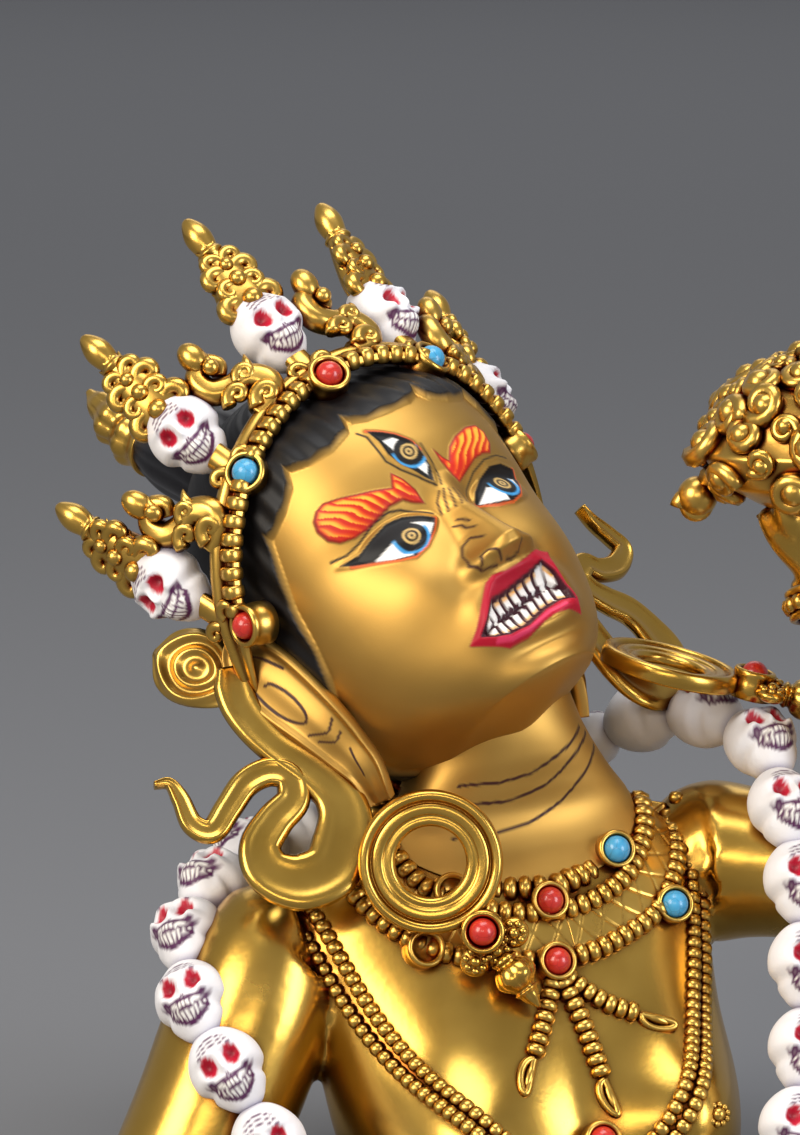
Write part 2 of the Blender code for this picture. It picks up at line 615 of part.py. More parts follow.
def crown_ring(numbers, degrees):
    """A place on one of the crown's rings, in face units."""
    across, forward, forward_cos, up, up_cos = numbers
    turn = np.radians(np.asarray(degrees, float) + CROWN_TURN)
    return np.stack([across * np.sin(turn), forward + forward_cos * np.cos(turn), up + up_cos * np.cos(turn)], axis=-1)


def outward_at(degrees):
    """The way out of the crown, along the head's axes."""
    turn = np.radians(np.asarray(degrees, float) + CROWN_TURN)
    return unit(np.stack([np.sin(turn), np.cos(turn), 0 * turn + 0.15], axis=-1)) @ HEAD_AXES


def on_band(degrees):
    """The middle of the band's roll, as a place on the statue."""
    degrees = np.asarray(degrees, float)
    bulge = BAND_BULGE * FACE * np.sin(np.radians(2 * degrees)) ** 2
    return on_head(crown_ring(BAND_RING, degrees)) + bulge[..., None] * outward_at(degrees)


def crown_stone_seat(degrees):
    axis = outward_at(degrees)
    return on_band(degrees) + (BAND_ROLL + 1.0) * axis, axis


def leaf(degrees):
    """One leaf: a stem, a skull, and a lobed finial above it."""
    base = on_band(degrees)
    middle, tip = (on_head(crown_ring(ring, degrees)) for ring in (SKULL_RING, TIP_RING))
    up = unit(tip - middle)
    axis = outward_at(degrees)
    front = unit(axis - axis @ up * up)
    parts = [skull("Crown skull", middle, np.array([np.cross(front, up), front, up]), SKULL_WIDE)]
    table = curve_through(FINIAL, 8)
    start = middle + 0.42 * SKULL_WIDE * up
    path = start + table[:, :1] * (tip - start)
    parts.append(swept("Finial", path, table[:, 1] * FACE, 0.75 * table[:, 1] * FACE, front, 6))
    stem = np.array([base, 0.5 * (base + middle), middle - 0.1 * SKULL_WIDE * up])
    parts.append(swept("Leaf stem", stem, 0.30 * SKULL_WIDE, 0.22 * SKULL_WIDE, front, 6))
    return parts + [collet(*crown_stone_seat(degrees))]


def scroll(degrees):
    """A curled volute standing on the band between two leaves."""
    base, above = on_band(degrees), on_head(crown_ring(TIP_RING, degrees))
    axis = outward_at(degrees)
    up = unit(above - base)
    flat = curve_through(SCROLL, 8) * FACE
    path = base + flat[:, :1] * np.cross(up, axis) + flat[:, 1:] * up
    width = np.linspace(0.050, 0.036, 8) * FACE
    return swept("Scroll", path, width, width, axis, 5)


def band(extra=0.0, count=37):
    """The band: an outer roll with a row of square beads in front of it, in one outline."""
    turn = np.linspace(-BAND_END, BAND_END, count)
    path = on_band(turn)
    forward = unit(np.gradient(path, axis=0))
    inner = unit(BEAD_STEP @ HEAD_AXES)
    front = unit(inner - (forward @ inner)[:, None] * forward)
    outer = np.cross(front, forward)
    outer = outer * np.sign(np.sum(outer * outward_at(turn), axis=1, keepdims=True))
    bead = np.where(np.arange(count) % 2, 1.12, 0.80) * np.where(np.abs(turn) > BEAD_END, 0.5, 1.0)
    rings = []
    for along, out, beaded in BAND_PROFILE:
        ahead = BAND_ROLL * along + (2 * BAND_BEAD * bead + extra if beaded else extra * np.sign(along))
        high = out * (BAND_BEAD * bead if beaded else BAND_ROLL) + extra * np.sign(out)
        rings.append(path + np.broadcast_to(ahead, count)[:, None] * front + np.broadcast_to(high, count)[:, None] * outer)
    return skin("Band", np.stack(rings, axis=1))


def side_drop(side, extra=0.0):
    """The drop-shaped ornament behind each ear at the band's end."""
    end = on_band(side * BAND_END)
    drop = on_head(SIDE_DROP * (side, 1, 1))
    far = unit(drop - end)
    path = curve_through([end - 0.5 * far, 0.5 * (end + drop), drop, drop + 0.10 * FACE * far], 6)
    width = DROP_WIDTHS * FACE
    front = unit(HEAD_AXES[0] * side + 0.8 * HEAD_AXES[1])
    return swept("Side drop", path, width + extra, 0.4 * width + extra, front)


def build_crown():
    parts = [body for degrees in LEAVES for body in leaf(degrees)]
    parts += [scroll(degrees + LEAF_STEP / 2) for degrees in LEAVES[:-1]]
    parts += [side_drop(side) for side in (-1, 1)]
    crown = boolean(band(), parts, "UNION")
    recesses = [stone("Recess", *crown_stone_seat(degrees), GAP) for degrees in LEAVES]
    return keep_largest(boolean(crown, recesses + near_figure(GAP), "DIFFERENCE"))


# Ribbons: flat bands in a plane that stands out from each ear.  Out from the ear and up, in millimetres.
RIBBON_ROOT = np.array([0.46, -0.06, 0.0])
RIBBON_SWEEP = math.radians(18)
RIBBON_LEFT = ((5.2, 2.4), (6.6, -2.1), (6.0, -7.2), (3.9, -12.3), (3.1, -16.3), (4.4, -19.6), (7.9, -22.6),
               (11.8, -22.2), (14.0, -19.5), (13.4, -16.6), (10.5, -14.9), (7.5, -13.9), (6.5, -11.6), (8.0, -9.9),
               (10.9, -9.7), (14.0, -11.1), (16.9, -12.4), (18.3, -10.7), (17.9, -7.7), (18.0, -5.5), (19.5, -4.8))
RIBBON_RIGHT = ((3.2, 2.0), (2.6, -4.7), (2.4, -10.8), (3.0, -16.2), (5.2, -19.4), (9.1, -19.2), (12.2, -16.5),
                (12.0, -13.3), (10.8, -10.5), (8.5, -8.5), (6.8, -6.6), (6.6, -4.5), (8.7, -3.5), (10.5, -4.6),
                (13.5, -4.7), (16.4, -3.0), (15.8, -1.0), (14.6, 1.3), (14.1, 3.4))
RIBBON_HALF_WIDTHS = ((0, 1.5), (0.15, 1.7), (0.32, 2.2), (0.42, 2.4), (0.55, 1.9), (0.7, 1.35), (0.85, 1.1),
                      (0.95, 0.8), (1, 0.35))


def ribbon(side, outline, count=26):
    """One flying ribbon: a thick strip bent to an outline, wide at its curl and thin at its tip."""
    flat = curve_through(outline, count) * GROWTH / FACE
    away = np.array([side * math.cos(RIBBON_SWEEP), -math.sin(RIBBON_SWEEP), 0])
    path = on_head(RIBBON_ROOT * (side, 1, 1) + flat[:, :1] * away + flat[:, 1:] * np.array([0, 0, 1]))
    facing = np.cross(away, (0, 0, 1)) * -side @ HEAD_AXES
    width = np.interp(np.linspace(0, 1, count), *np.array(RIBBON_HALF_WIDTHS).T) * GROWTH
    body = swept("Ribbon", path, width, 0.5 * RIBBON_THICK, facing, 6)
    clear = near_figure(GAP) + [band(GAP), side_drop(side, GAP)]
    return keep_largest(boolean(body, clear, "DIFFERENCE"))


# Ring earrings.  On the head: the ring's middle, the way it hangs, the way its ring faces.
EARRINGS = {
    "left": ((-0.463, 0.015, -0.752), (0.183, -0.180, -0.966), (-0.546, 0.799, -0.252)),
    "right": ((0.577, 0.087, -0.552), (0.659, 0.223, -0.717), (0.406, 0.692, 0.598)),
}
STONE_BELOW = 1.6  # from the ring's edge to its stone, along the way it hangs
PETAL = 1.7
PETAL_BELOW = 2.6
BUD = ((3.2, 1.0), (4.5, 1.9), (6.1, 2.3), (7.7, 1.5), (8.9, 1.0), (10.1, 0.3))


def earring_frame(which):
    """The ring's middle, the way it hangs, the way it faces, and the way across."""
    centre, hang, face = (np.array(row) for row in EARRINGS[which])
    hang = unit(hang @ HEAD_AXES)
    face = face @ HEAD_AXES
    face = unit(face - face @ hang * hang)
    return on_head(centre), hang, face, np.cross(hang, face)


def earring_stone_seat(which):
    centre, hang, face, _ = earring_frame(which)
    return centre + (RING_OUTSIDE / 2 + STONE_BELOW) * hang + (RING_THICK / 2 + 0.9) * face, face


def earring(which):
    """A flat ring with a stepped face, a set stone, three petals and a bud below it."""
    centre, hang, face, across = earring_frame(which)
    turn = np.linspace(0, 2 * np.pi, 17)[:-1, None]
    spoke = np.cos(turn) * hang + np.sin(turn) * across
    outer, inner, half = RING_OUTSIDE / 2, RING_HOLE / 2, RING_THICK / 2
    step = inner + 0.55 * (outer - inner)
    profile = ((outer, -half), (outer, half), (step, half), (step, 0.45 * half), (inner, 0.3 * half), (inner, -half))
    rings = np.stack([centre + radius * spoke + out * face for radius, out in profile], axis=1)
    body = skin("Ring", rings, closed=True)
    seat = earring_stone_seat(which)
    below = outer + STONE_BELOW + PETAL_BELOW
    parts = [collet(*seat)]
    for side in (-1, 0, 1):
        middle = centre + (below - 0.5 * abs(side)) * hang + 1.5 * PETAL * side * across
        parts.append(ball("Petal", middle, np.array([across, face, hang]), PETAL * np.array([1, 0.55, 1]), 6, 4))
    table = np.array(BUD)
    path = centre + (outer + STONE_BELOW + table[:, :1]) * hang
    parts.append(swept("Bud", path, table[:, 1], table[:, 1], face, 6))
    body = boolean(body, parts, "UNION")
    return keep_largest(boolean(body, [stone("Recess", *seat, GAP)] + near_figure(GAP), "DIFFERENCE"))


# Skull garland: places on the torso, then the way each stretch faces
GARLAND = (
    (-31.6, 8.9, -14, -0.3, 1, 0.1), (-31.4, 8.6, -4, -0.35, 1, 0.1), (-31.8, 8.0, 6, -0.35, 1, 0.1),
    (-33.8, 7.5, 15, -0.4, 1, 0.1), (-36.6, 4.3, 25.6, -0.6, 1, 0.2), (-34.1, -1.8, 35.4, -0.7, 0.7, 0.6),
    (-28.0, -7.6, 41.2, -0.4, 0.3, 1), (-19.5, -14.5, 44.8, -0.3, -0.7, 0.8), (-9, -20.2, 46, -0.2, -1, 0.3),
    (3, -22.6, 47, 0, -1, 0.3), (14, -17.5, 49, 0.3, -1, 0.5), (22.5, -8.0, 51, 0.4, -0.4, 1),
    (27.4, 0.3, 50.0, 0.3, 0.6, 1), (31.3, 9.0, 44.5, 0.2, 1, 0.5), (30.6, 14.5, 35.5, 0.1, 1, 0.1),
    (29.9, 16.5, 28.3, 0, 1, 0), (28.3, 17.9, 21, 0, 1, 0), (25.5, 19.0, 9.7, 0, 1, 0), (21.5, 21.3, 0.6, 0, 1, 0),
    (17.8, 21.2, -8, 0, 1, 0), (14, 21, -16, 0, 1, 0),
)
GARLAND_NAPE = 0.47  # the share of the garland's length where its skulls turn over, behind the neck


def build_garland():
    fine = curve_through(GARLAND, 400)
    run = np.concatenate([[0], np.cumsum(np.linalg.norm(np.diff(fine[:, :3], axis=0), axis=1))]) * GROWTH
    bodies = []
    for place in np.arange(0.5 * GARLAND_PITCH, run[-1], GARLAND_PITCH):
        k = int(np.clip(np.searchsorted(run, place), 6, len(fine) - 7))
        along = unit((fine[k + 6, :3] - fine[k - 6, :3]) @ TORSO_AXES)
        up = along if k < GARLAND_NAPE * len(fine) else -along
        front = fine[k, 3:] @ TORSO_AXES
        front = unit(front - front @ up * up)
        axes = np.array([np.cross(front, up), front, up])
        bodies.append(skull("Garland skull", on_torso(fine[k, :3]), axes, SKULL_WIDE, 7, 5))
    garland = boolean(bodies[0], bodies[1:], "UNION")
    return keep_largest(boolean(garland, near_figure(GAP) + [floor_block()], "DIFFERENCE"))


# Skull cup: a round bowl with a heap of curling cloud on it and a snail curl at its left
CUP_PLACE = np.array([41.2, 27.0, 70.4])
HEAP_HIGH = 17.6
HEAP_SUNK = 3.4
HEAP = ((0.0, 0.93), (0.10, 1.15), (0.30, 1.30), (0.42, 1.21), (0.58, 1.12), (0.72, 1.0), (0.84, 0.76), (0.93, 0.50),
        (1.0, 0.08))
SNAIL = np.array([-16.2, 0.0, -3.4])
SNAIL_RADIUS = 2.6


def build_cup():
    centre = on_torso(CUP_PLACE)
    rim = CUP_WIDE / 2
    turn = np.arange(14) / 14 * 2 * np.pi
    circle = np.stack([np.cos(turn), np.sin(turn), 0 * turn], axis=-1)
    up = np.array([0, 0, 1.0])
    fall = np.linspace(0.98, 0, 5)[:, None, None]
    bowl = skin("Bowl", centre + rim * np.sqrt(1 - fall**2) * circle - fall * CUP_DEEP * up)
    table = curve_through(HEAP, 9)
    lumps = 1 + 0.04 * np.cos(5 * turn + 0.6) + 0.03 * np.cos(3 * turn + 9 * table[:, :1])
    heap = centre + (rim * table[:, 1:] * lumps)[..., None] * circle
    heap = skin("Heap", heap + ((HEAP_HIGH * table[:, :1] - HEAP_SUNK) * GROWTH)[..., None] * up)
    snail = ball("Snail curl", centre + SNAIL * GROWTH, np.eye(3), np.full(3, SNAIL_RADIUS * GROWTH))
    cup = boolean(bowl, [heap, snail], "UNION")
    return keep_largest(boolean(cup, hand(GAP), "DIFFERENCE"))


# Every piece


def build_statue():
    finish(build_figure(), "figure", GILT)
    finish(build_crown(), "crown", GILT)
    finish(ribbon(-1, RIBBON_LEFT), "ribbon_left", GILT)
    finish(ribbon(1, RIBBON_RIGHT), "ribbon_right", GILT)
    finish(build_garland(), "skull_garland", WHITE)
    finish(build_cup(), "skull_cup", GILT)
    for which in EARRINGS:
        finish(earring(which), f"earring_{which}", GILT)
        finish(stone("Stone", *earring_stone_seat(which)), f"earring_stone_{which}", CORAL)
    for number, degrees in enumerate(LEAVES, 1):
        material = TURQUOISE if number % 2 == 0 else CORAL
        finish(stone("Stone", *crown_stone_seat(degrees)), f"crown_stone_{number}", material)
    for name, place in NECK_STONES.items():
        finish(stone("Stone", *neck_stone_seat(place)), name, TURQUOISE if "turquoise" in name else CORAL)


build_statue()
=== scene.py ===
"""Looks of the gilt copper yogini bust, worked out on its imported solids.  Places are millimetres until a mesh is made."""

import bmesh
import bpy
import numpy as np
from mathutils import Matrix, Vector


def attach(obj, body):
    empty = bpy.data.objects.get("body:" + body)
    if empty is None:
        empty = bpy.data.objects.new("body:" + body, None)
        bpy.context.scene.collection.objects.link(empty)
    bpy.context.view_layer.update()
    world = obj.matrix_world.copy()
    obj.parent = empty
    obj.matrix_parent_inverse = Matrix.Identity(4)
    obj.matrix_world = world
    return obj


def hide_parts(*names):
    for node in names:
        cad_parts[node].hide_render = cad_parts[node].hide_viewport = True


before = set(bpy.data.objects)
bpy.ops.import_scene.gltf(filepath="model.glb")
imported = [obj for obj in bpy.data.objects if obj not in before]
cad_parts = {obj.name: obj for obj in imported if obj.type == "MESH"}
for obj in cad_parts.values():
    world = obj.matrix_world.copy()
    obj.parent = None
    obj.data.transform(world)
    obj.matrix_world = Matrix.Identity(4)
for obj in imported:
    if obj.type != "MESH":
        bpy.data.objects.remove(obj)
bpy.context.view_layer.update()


# Studio: a plain grey floor, wide lamps left, right, above, in front and over the far floor, and a long lens a
# little above the bust.  Gilt metal shows its lamps, so they are soft and the room behind them is a quiet grey.

MM = 0.001
LOOKING_AT = (-16.6, 13.95, 67.24)
CAMERA_AT = (-16.6, -673.3, 163.8)


def linear(code):
    """An sRGB hex colour as linear light: dark channels over 12.92, the others lifted and raised to 2.4."""
    channel = np.array([int(code[k:k + 2], 16) for k in (0, 2, 4)]) / 255
    light = np.where(channel <= 0.04045, channel / 12.92, ((channel + 0.055) / 1.055) ** 2.4)
    return (*light.tolist(), 1.0)


def wire(material, node, sockets):
    """Sets each named socket of a node to its value, or links it to the output given."""
    for name, value in sockets.items():
        if isinstance(value, bpy.types.NodeSocket):
            material.node_tree.links.new(value, node.inputs[name])
        else:
            node.inputs[name].default_value = value


def add(material, kind, sockets, **settings):
    """Adds one node with its settings and its links."""
    node = material.node_tree.nodes.new(kind)
    for name, value in settings.items():
        setattr(node, name, value)
    wire(material, node, sockets)
    return node


def mixed(material, share, one, other, **settings):
    """The first colour times one minus the share, plus the second times the share."""
    return add(material, "ShaderNodeMix", {"Factor": share, "A": one, "B": other}, data_type="RGBA",
               **settings).outputs["Result"]


def noise(material, place, scale, detail):
    """Soft clouds in the places given; the higher the scale, the smaller they are."""
    return add(material, "ShaderNodeTexNoise", {"Vector": place, "Scale": scale, "Detail": detail}).outputs["Fac"]


def aimed(thing, place, target=LOOKING_AT):
    """Stands a lamp or the camera at a place in millimetres, turned so that its own -Z looks at the target."""
    thing.location = Vector(place) * MM
    thing.rotation_euler = (Vector(target) - Vector(place)).to_track_quat("-Z", "Y").to_euler()
    bpy.context.scene.collection.objects.link(thing)
    return thing


world = bpy.data.worlds.new("Grey room")
world.use_nodes = True
wire(world, world.node_tree.nodes["Background"], {"Color": linear("A3A4A8"), "Strength": 0.85})
bpy.context.scene.world = world
bpy.context.scene.view_settings.view_transform = "Standard"
for name, place, target, wide, high, watts, tint in (
    ("Left window", (-560, -520, 420), LOOKING_AT, 420, 480, 5.6, "FFF6E8"),
    ("Right window", (620, -420, 200), LOOKING_AT, 260, 480, 3.2, "F2F6FF"),
    ("Overhead", (40, -60, 760), LOOKING_AT, 560, 380, 3.2, "FFFFFF"),
    ("Front card", (-60, -820, 300), LOOKING_AT, 420, 120, 0.9, "FFF2DC"),
    ("Far floor", (0, 1900, 1500), (0, 1901, 0), 1400, 1400, 7.0, "FFFFFF"),
):
    lamp = bpy.data.lights.new(name, "AREA")
    lamp.shape, lamp.size, lamp.size_y, lamp.energy = "RECTANGLE", wide * MM, high * MM, watts
    lamp.color = linear(tint)[:3]
    aimed(bpy.data.objects.new(name, lamp), place, target)

lens = bpy.data.cameras.new("Long lens")
lens.lens, lens.sensor_width, lens.sensor_fit = 200, 36, "AUTO"
bpy.context.scene.camera = aimed(bpy.data.objects.new("Long lens", lens), CAMERA_AT)

plaster = bpy.data.materials.new("Matte painted studio floor")
plaster.use_nodes = True
speck = add(plaster, "ShaderNodeTexNoise", {"Scale": 30.0, "Detail": 3.0})
tone = mixed(plaster, speck.outputs["Fac"], linear("6F7073"), linear("727376"))
wire(plaster, plaster.node_tree.nodes["Principled BSDF"], {"Base Color": tone, "Roughness": 0.8})
floor_mesh = bpy.data.meshes.new("Floor")
floor_mesh.from_pydata([(-9, -9, 0), (9, -9, 0), (9, 9, 0), (-9, 9, 0)], [], [(0, 1, 2, 3)])
floor_mesh.materials.append(plaster)
floor = bpy.data.objects.new("Floor", floor_mesh)
bpy.context.scene.collection.objects.link(floor)


# Torso, arms and the lifted hand: one lost-wax casting in copper, fire-gilt and burnished with agate.
# The shapes are skinned one by one, then melted together so that shoulders and fingers blend as cast.

FACE = 37.4  # height of the face, the unit of the head


def pose(turn, nod, tilt):
    """Rows are the axes across, forward and up after a turn to the right, a nod up and a tilt, in degrees."""
    turn, nod, tilt = np.radians([turn, nod, tilt])
    forward = np.array([np.sin(turn) * np.cos(nod), -np.cos(turn) * np.cos(nod), np.sin(nod)])
    level = np.array([np.cos(turn), np.sin(turn), 0])
    above = np.array([-np.sin(nod) * np.sin(turn), np.sin(nod) * np.cos(turn), np.cos(nod)])
    across = np.cos(tilt) * level + np.sin(tilt) * above
    return np.array([across, forward, -np.sin(tilt) * level + np.cos(tilt) * above])


TORSO_AXES = pose(16.6, 20.1, 6.05)
# Height, centre across, centre forward, half width, depth in front, depth behind
TORSO_LEVELS = (
    (-15, 0, 0, 16.5, 11.0, 10.0), (-7, 0, 0, 18.3, 12.5, 11.5), (2, 0, 0, 20.5, 14.0, 12.0),
    (10, 0, 0, 22.3, 14.5, 12.5), (18, 0, 0, 22.8, 14.0, 13.0), (25, 0, 0, 23.6, 12.6, 13.0),
    (32, 0, 0, 24.5, 11.0, 12.2), (37, 0, 0, 22.5, 9.6, 11.2), (40.5, 0.5, 0.5, 18.5, 9.2, 10.6),
    (43.5, 1.8, 2.3, 14.3, 9.0, 10.0), (46.5, 2.5, 4.3, 11.2, 8.8, 9.3), (50, 2.2, 5.6, 9.7, 8.8, 8.8),
    (55, 1.2, 6.4, 9.2, 8.8, 8.8), (61, -1.0, 6.4, 8.4, 8.2, 8.2),
)
BREAST_ACROSS, BREAST_HEIGHT, BREAST_RAISED, BREAST_SPREAD = 14.6, 4.0, 6.6, 8.4
# Places on the torso and radii
LOWERED_ARM = ((-22, 0.5, 32.5, 6.2), (-25.2, -0.4, 31.5, 8.2), (-29.4, -1.0, 25, 8.9), (-34.6, -3.0, 16, 8.8),
               (-40.5, -5.0, 7, 8.4), (-44, -6.3, 0, 8.0), (-47, -7.5, -7, 7.7), (-50, -9, -14, 7.4))
RAISED_UPPER_ARM = ((21, 0.5, 33, 6.5), (25.5, 0.5, 33.2, 9.0), (31, 3.5, 31.5, 8.2), (39, 8, 28, 7.2),
                    (45, 11.2, 26, 6.6), (47.5, 12.2, 26.5, 5.6))
RAISED_FOREARM = ((46.2, 11.5, 24.2, 5.4), (46, 12.2, 28.5, 6.3), (44.2, 15, 37, 6.4), (41.5, 18.3, 47, 5.3),
                  (39, 20.8, 56, 4.0), (38.2, 21.6, 60, 4.2))
PALM, PALM_RADII = np.array([39.0, 22.4, 62.0]), (4.8, 3.8, 5.0)
FINGERS = ((-3.6, 1.0), (-1.3, 1.15), (1.1, 1.1), (3.4, 0.95))
THUMB = ((-3, 1, -1), (-6, 2.5, 2.2), (-7.4, 2.2, 5.4))
FINGER_RADII = (2.0, 1.92, 1.66, 1.05)
MELT = 0.6  # size of the cells the shapes melt together on
FULLNESS = 0.9  # power of an outline's sine and cosine; below 1 it makes the oval fuller


def unit(vector):
    """A vector over its own length."""
    return vector / np.linalg.norm(vector, axis=-1, keepdims=True)


def on_torso(points):
    """Places across, forward and up on the torso, as places on the statue."""
    return np.asarray(points, float) @ TORSO_AXES


def read_table(table, step):
    """Rows of a table at fractional row numbers, on a cubic through the four nearest rows."""
    table = np.asarray(table, float)
    padded = np.vstack([2 * table[0] - table[1], table, 2 * table[-1] - table[-2]])
    left = np.clip(step.astype(int), 0, len(table) - 2)
    t = (step - left)[:, None]
    a, b, c, d = (padded[left + k] for k in range(4))
    return 0.5 * (2 * b + (c - a) * t + (2 * a - 5 * b + 4 * c - d) * t**2 + (3 * b - a - 3 * c + d) * t**3)


def length_along(path):
    """How far along a path each of its places lies: the sum of the steps before it."""
    return np.concatenate([[0], np.cumsum(np.linalg.norm(np.diff(path, axis=0), axis=1))])


def curve_through(points, count):
    """A smooth curve through the points, read at places evenly spaced along its length."""
    fine = read_table(points, np.linspace(0, len(points) - 1, 40 * len(points)))
    run = length_along(fine[:, :3])
    even = np.linspace(0, run[-1], count)
    return np.column_stack([np.interp(even, run, column) for column in fine.T])


def woven(rings, closed=False, poles=None):
    """Points and faces of a stack of rings: four-sided faces between rings, fans to a pole at each end."""
    count, around, _ = rings.shape
    index = np.arange(count * around).reshape(count, around)
    points = rings.reshape(-1, 3)
    if closed:
        index = np.vstack([index, index[:1]])
    over = np.roll(index, -1, axis=1)
    sides = np.stack([index[:-1], over[:-1], over[1:], index[1:]], axis=-1).reshape(-1, 4)
    if closed:
        return points, sides
    poles = np.array([rings[0].mean(axis=0), rings[-1].mean(axis=0)]) if poles is None else np.asarray(poles, float)
    first, last, none = (np.full(around, value) for value in (len(points), len(points) + 1, -1))
    fans = [np.stack([over[0], index[0], first, none], axis=-1), np.stack([index[-1], over[-1], last, none], axis=-1)]
    return np.vstack([points, poles]), np.vstack([sides] + fans)


def joined(shapes):
    """Several shapes as one: points stacked, faces renumbered by the points that came before."""
    before = np.cumsum([0] + [len(points) for points, _ in shapes[:-1]])
    faces = [np.where(face < 0, -1, face + start) for (_, face), start in zip(shapes, before)]
    return np.vstack([points for points, _ in shapes]), np.vstack(faces)


def circle(around):
    """Cosine and sine at even steps of a full turn."""
    turn = np.arange(around) / around * 2 * np.pi
    return np.stack([np.cos(turn), np.sin(turn)], axis=-1)


def carried(path, facing, profile):
    """A profile carried along a path: its first number lies across the path, its second towards the facing."""
    forward = unit(np.gradient(path, axis=0))
    facing = np.broadcast_to(facing, path.shape)
    front = unit(facing - np.sum(facing * forward, axis=1, keepdims=True) * forward)
    across = np.cross(forward, front)
    return path[:, None] + profile[..., :1] * across[:, None] + profile[..., 1:] * front[:, None]


def rod(path, facing, radius, around=12):
    """A round bar along a path: a circle of the radius carried along it."""
    radius = np.broadcast_to(radius, len(path))
    return woven(carried(path, facing, radius[:, None, None] * circle(around)))


def unit_ball(around=10, up=6):
    """A ball: circles of cosine(latitude) at sine(latitude), with a point at each pole."""
    latitude = np.linspace(-90, 90, up + 1)[1:-1, None] * np.pi / 180
    ring = circle(around)[None]
    rings = np.concatenate([np.cos(latitude)[..., None] * ring, np.broadcast_to(np.sin(latitude)[..., None],
                            (up - 1, around, 1))], axis=-1)
    return woven(rings, poles=[(0, 0, -1), (0, 0, 1)])


def copies(shape, places, axes, sizes):
    """One shape many times: its points scaled, turned onto each row of axes and moved to each place."""
    points, faces = shape
    places = np.atleast_2d(places)
    sizes = np.broadcast_to(np.asarray(sizes, float).reshape(-1, 1, 1) if np.ndim(sizes) < 2 else
                            np.asarray(sizes, float)[:, None, :], (len(places), 1, 3))
    axes = np.broadcast_to(axes, (len(places), 3, 3))
    spread = places[:, None] + (points * sizes) @ axes
    step = np.arange(len(places))[:, None, None] * len(points)
    return spread.reshape(-1, 3), np.where(faces < 0, -1, faces + step).reshape(-1, 4)


def mesh_of(name, shape, **paints):
    """A mesh in metres with its paints as point attributes, its faces outward, cut flat at the underside."""
    points, faces = shape
    mesh = bpy.data.meshes.new(name)
    mesh.from_pydata((points * MM).tolist(), [], [face[:3] if face[3] < 0 else face for face in faces.tolist()])
    for label, values in paints.items():
        kind, field = ("FLOAT_COLOR", "color") if values.ndim == 2 else ("FLOAT", "value")
        mesh.attributes.new(label, kind, "POINT").data.foreach_set(field, values.astype(np.float32).ravel())
    return level(mesh)


def level(mesh):
    """Cuts a mesh at the flat underside, closes the cut, and turns its faces outward."""
    form = bmesh.new()
    form.from_mesh(mesh)
    if min(vertex.co.z for vertex in form.verts) < 0:
        everything = form.verts[:] + form.edges[:] + form.faces[:]
        bmesh.ops.bisect_plane(form, geom=everything, plane_co=(0, 0, 0), plane_no=(0, 0, -1), clear_outer=True)
        bmesh.ops.holes_fill(form, edges=[edge for edge in form.edges if edge.is_boundary])
    bmesh.ops.recalc_face_normals(form, faces=form.faces)
    form.to_mesh(mesh)
    form.free()
    return mesh


def piece(name, mesh, node, material):
    """A finished piece: smooth, riding on the root, in place of its solid, with its material."""
    mesh.shade_smooth()
    mesh.materials.clear()
    mesh.materials.append(material)
    made = bpy.data.objects.new(name, mesh)
    bpy.context.scene.collection.objects.link(made)
    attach(made, "root")
    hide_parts(node)
    return made


def gilded(name, gold, hollow, roughness, reach):
    """Fire-gilt copper: mercury-gilt skin over cast copper.  Open faces are rubbed bright, hollows keep
    brown copper tarnish, and slow clouds in the gold come from where the burnisher passed."""
    material = bpy.data.materials.new(name)
    material.use_nodes = True
    place = add(material, "ShaderNodeTexCoord", {}).outputs["Object"]
    cloud, grain = noise(material, place, 140.0, 4.0), noise(material, place, 1400.0, 3.0)
    shade = add(material, "ShaderNodeAmbientOcclusion", {"Distance": reach * MM}, samples=8).outputs["AO"]
    rubbed = add(material, "ShaderNodeMapRange", {"Value": shade, "From Min": 0.42, "From Max": 0.86})
    warm = mixed(material, cloud, linear(gold[0]), linear(gold[1]))
    colour = mixed(material, rubbed.outputs["Result"], linear(hollow), warm)
    rough = add(material, "ShaderNodeMapRange", {"Value": cloud, "To Min": roughness - 0.05,
                "To Max": roughness + 0.07})
    relief = add(material, "ShaderNodeBump", {"Height": grain, "Strength": 0.10, "Distance": 0.1 * MM})
    wire(material, material.node_tree.nodes["Principled BSDF"],
         {"Base Color": colour, "Metallic": 1.0, "Roughness": rough.outputs["Result"],
          "Normal": relief.outputs["Normal"]})
    return material


BURNISHED = gilded("Burnished fire-gilt copper", ("C89A40", "DDB458"), "7A4216", 0.24, 2.0)
CHASED = gilded("Chased fire-gilt copper", ("D0A044", "E4BC62"), "6A2C10", 0.28, 2.2)


def breast(across, height):
    """How far the breasts stand forward: a height times e to the minus squared distance over spread squared."""
    away = (np.abs(across) - BREAST_ACROSS) ** 2 + (height - BREAST_HEIGHT) ** 2
    return BREAST_RAISED * np.exp(-away / BREAST_SPREAD**2)


def fuller(share):
    """The sine or cosine of a fuller oval: its sign times its size to the power of the fullness."""
    return np.sign(share) * np.abs(share) ** FULLNESS


def torso_rings(rows, around):
    """Torso and neck: at each level a ring, half width times sine across and depth times cosine forward."""
    levels = read_table(TORSO_LEVELS, rows)
    c, s = fuller(circle(around).T)
    depth = np.where(c > 0, levels[:, 4:5], levels[:, 5:6])
    across = levels[:, 1:2] + levels[:, 3:4] * s
    up = np.broadcast_to(levels[:, 0:1], across.shape)
    forward = levels[:, 2:3] + depth * c + breast(across, up) * np.clip(3 * c, 0, 1)
    return np.stack([across, forward, up], axis=-1)


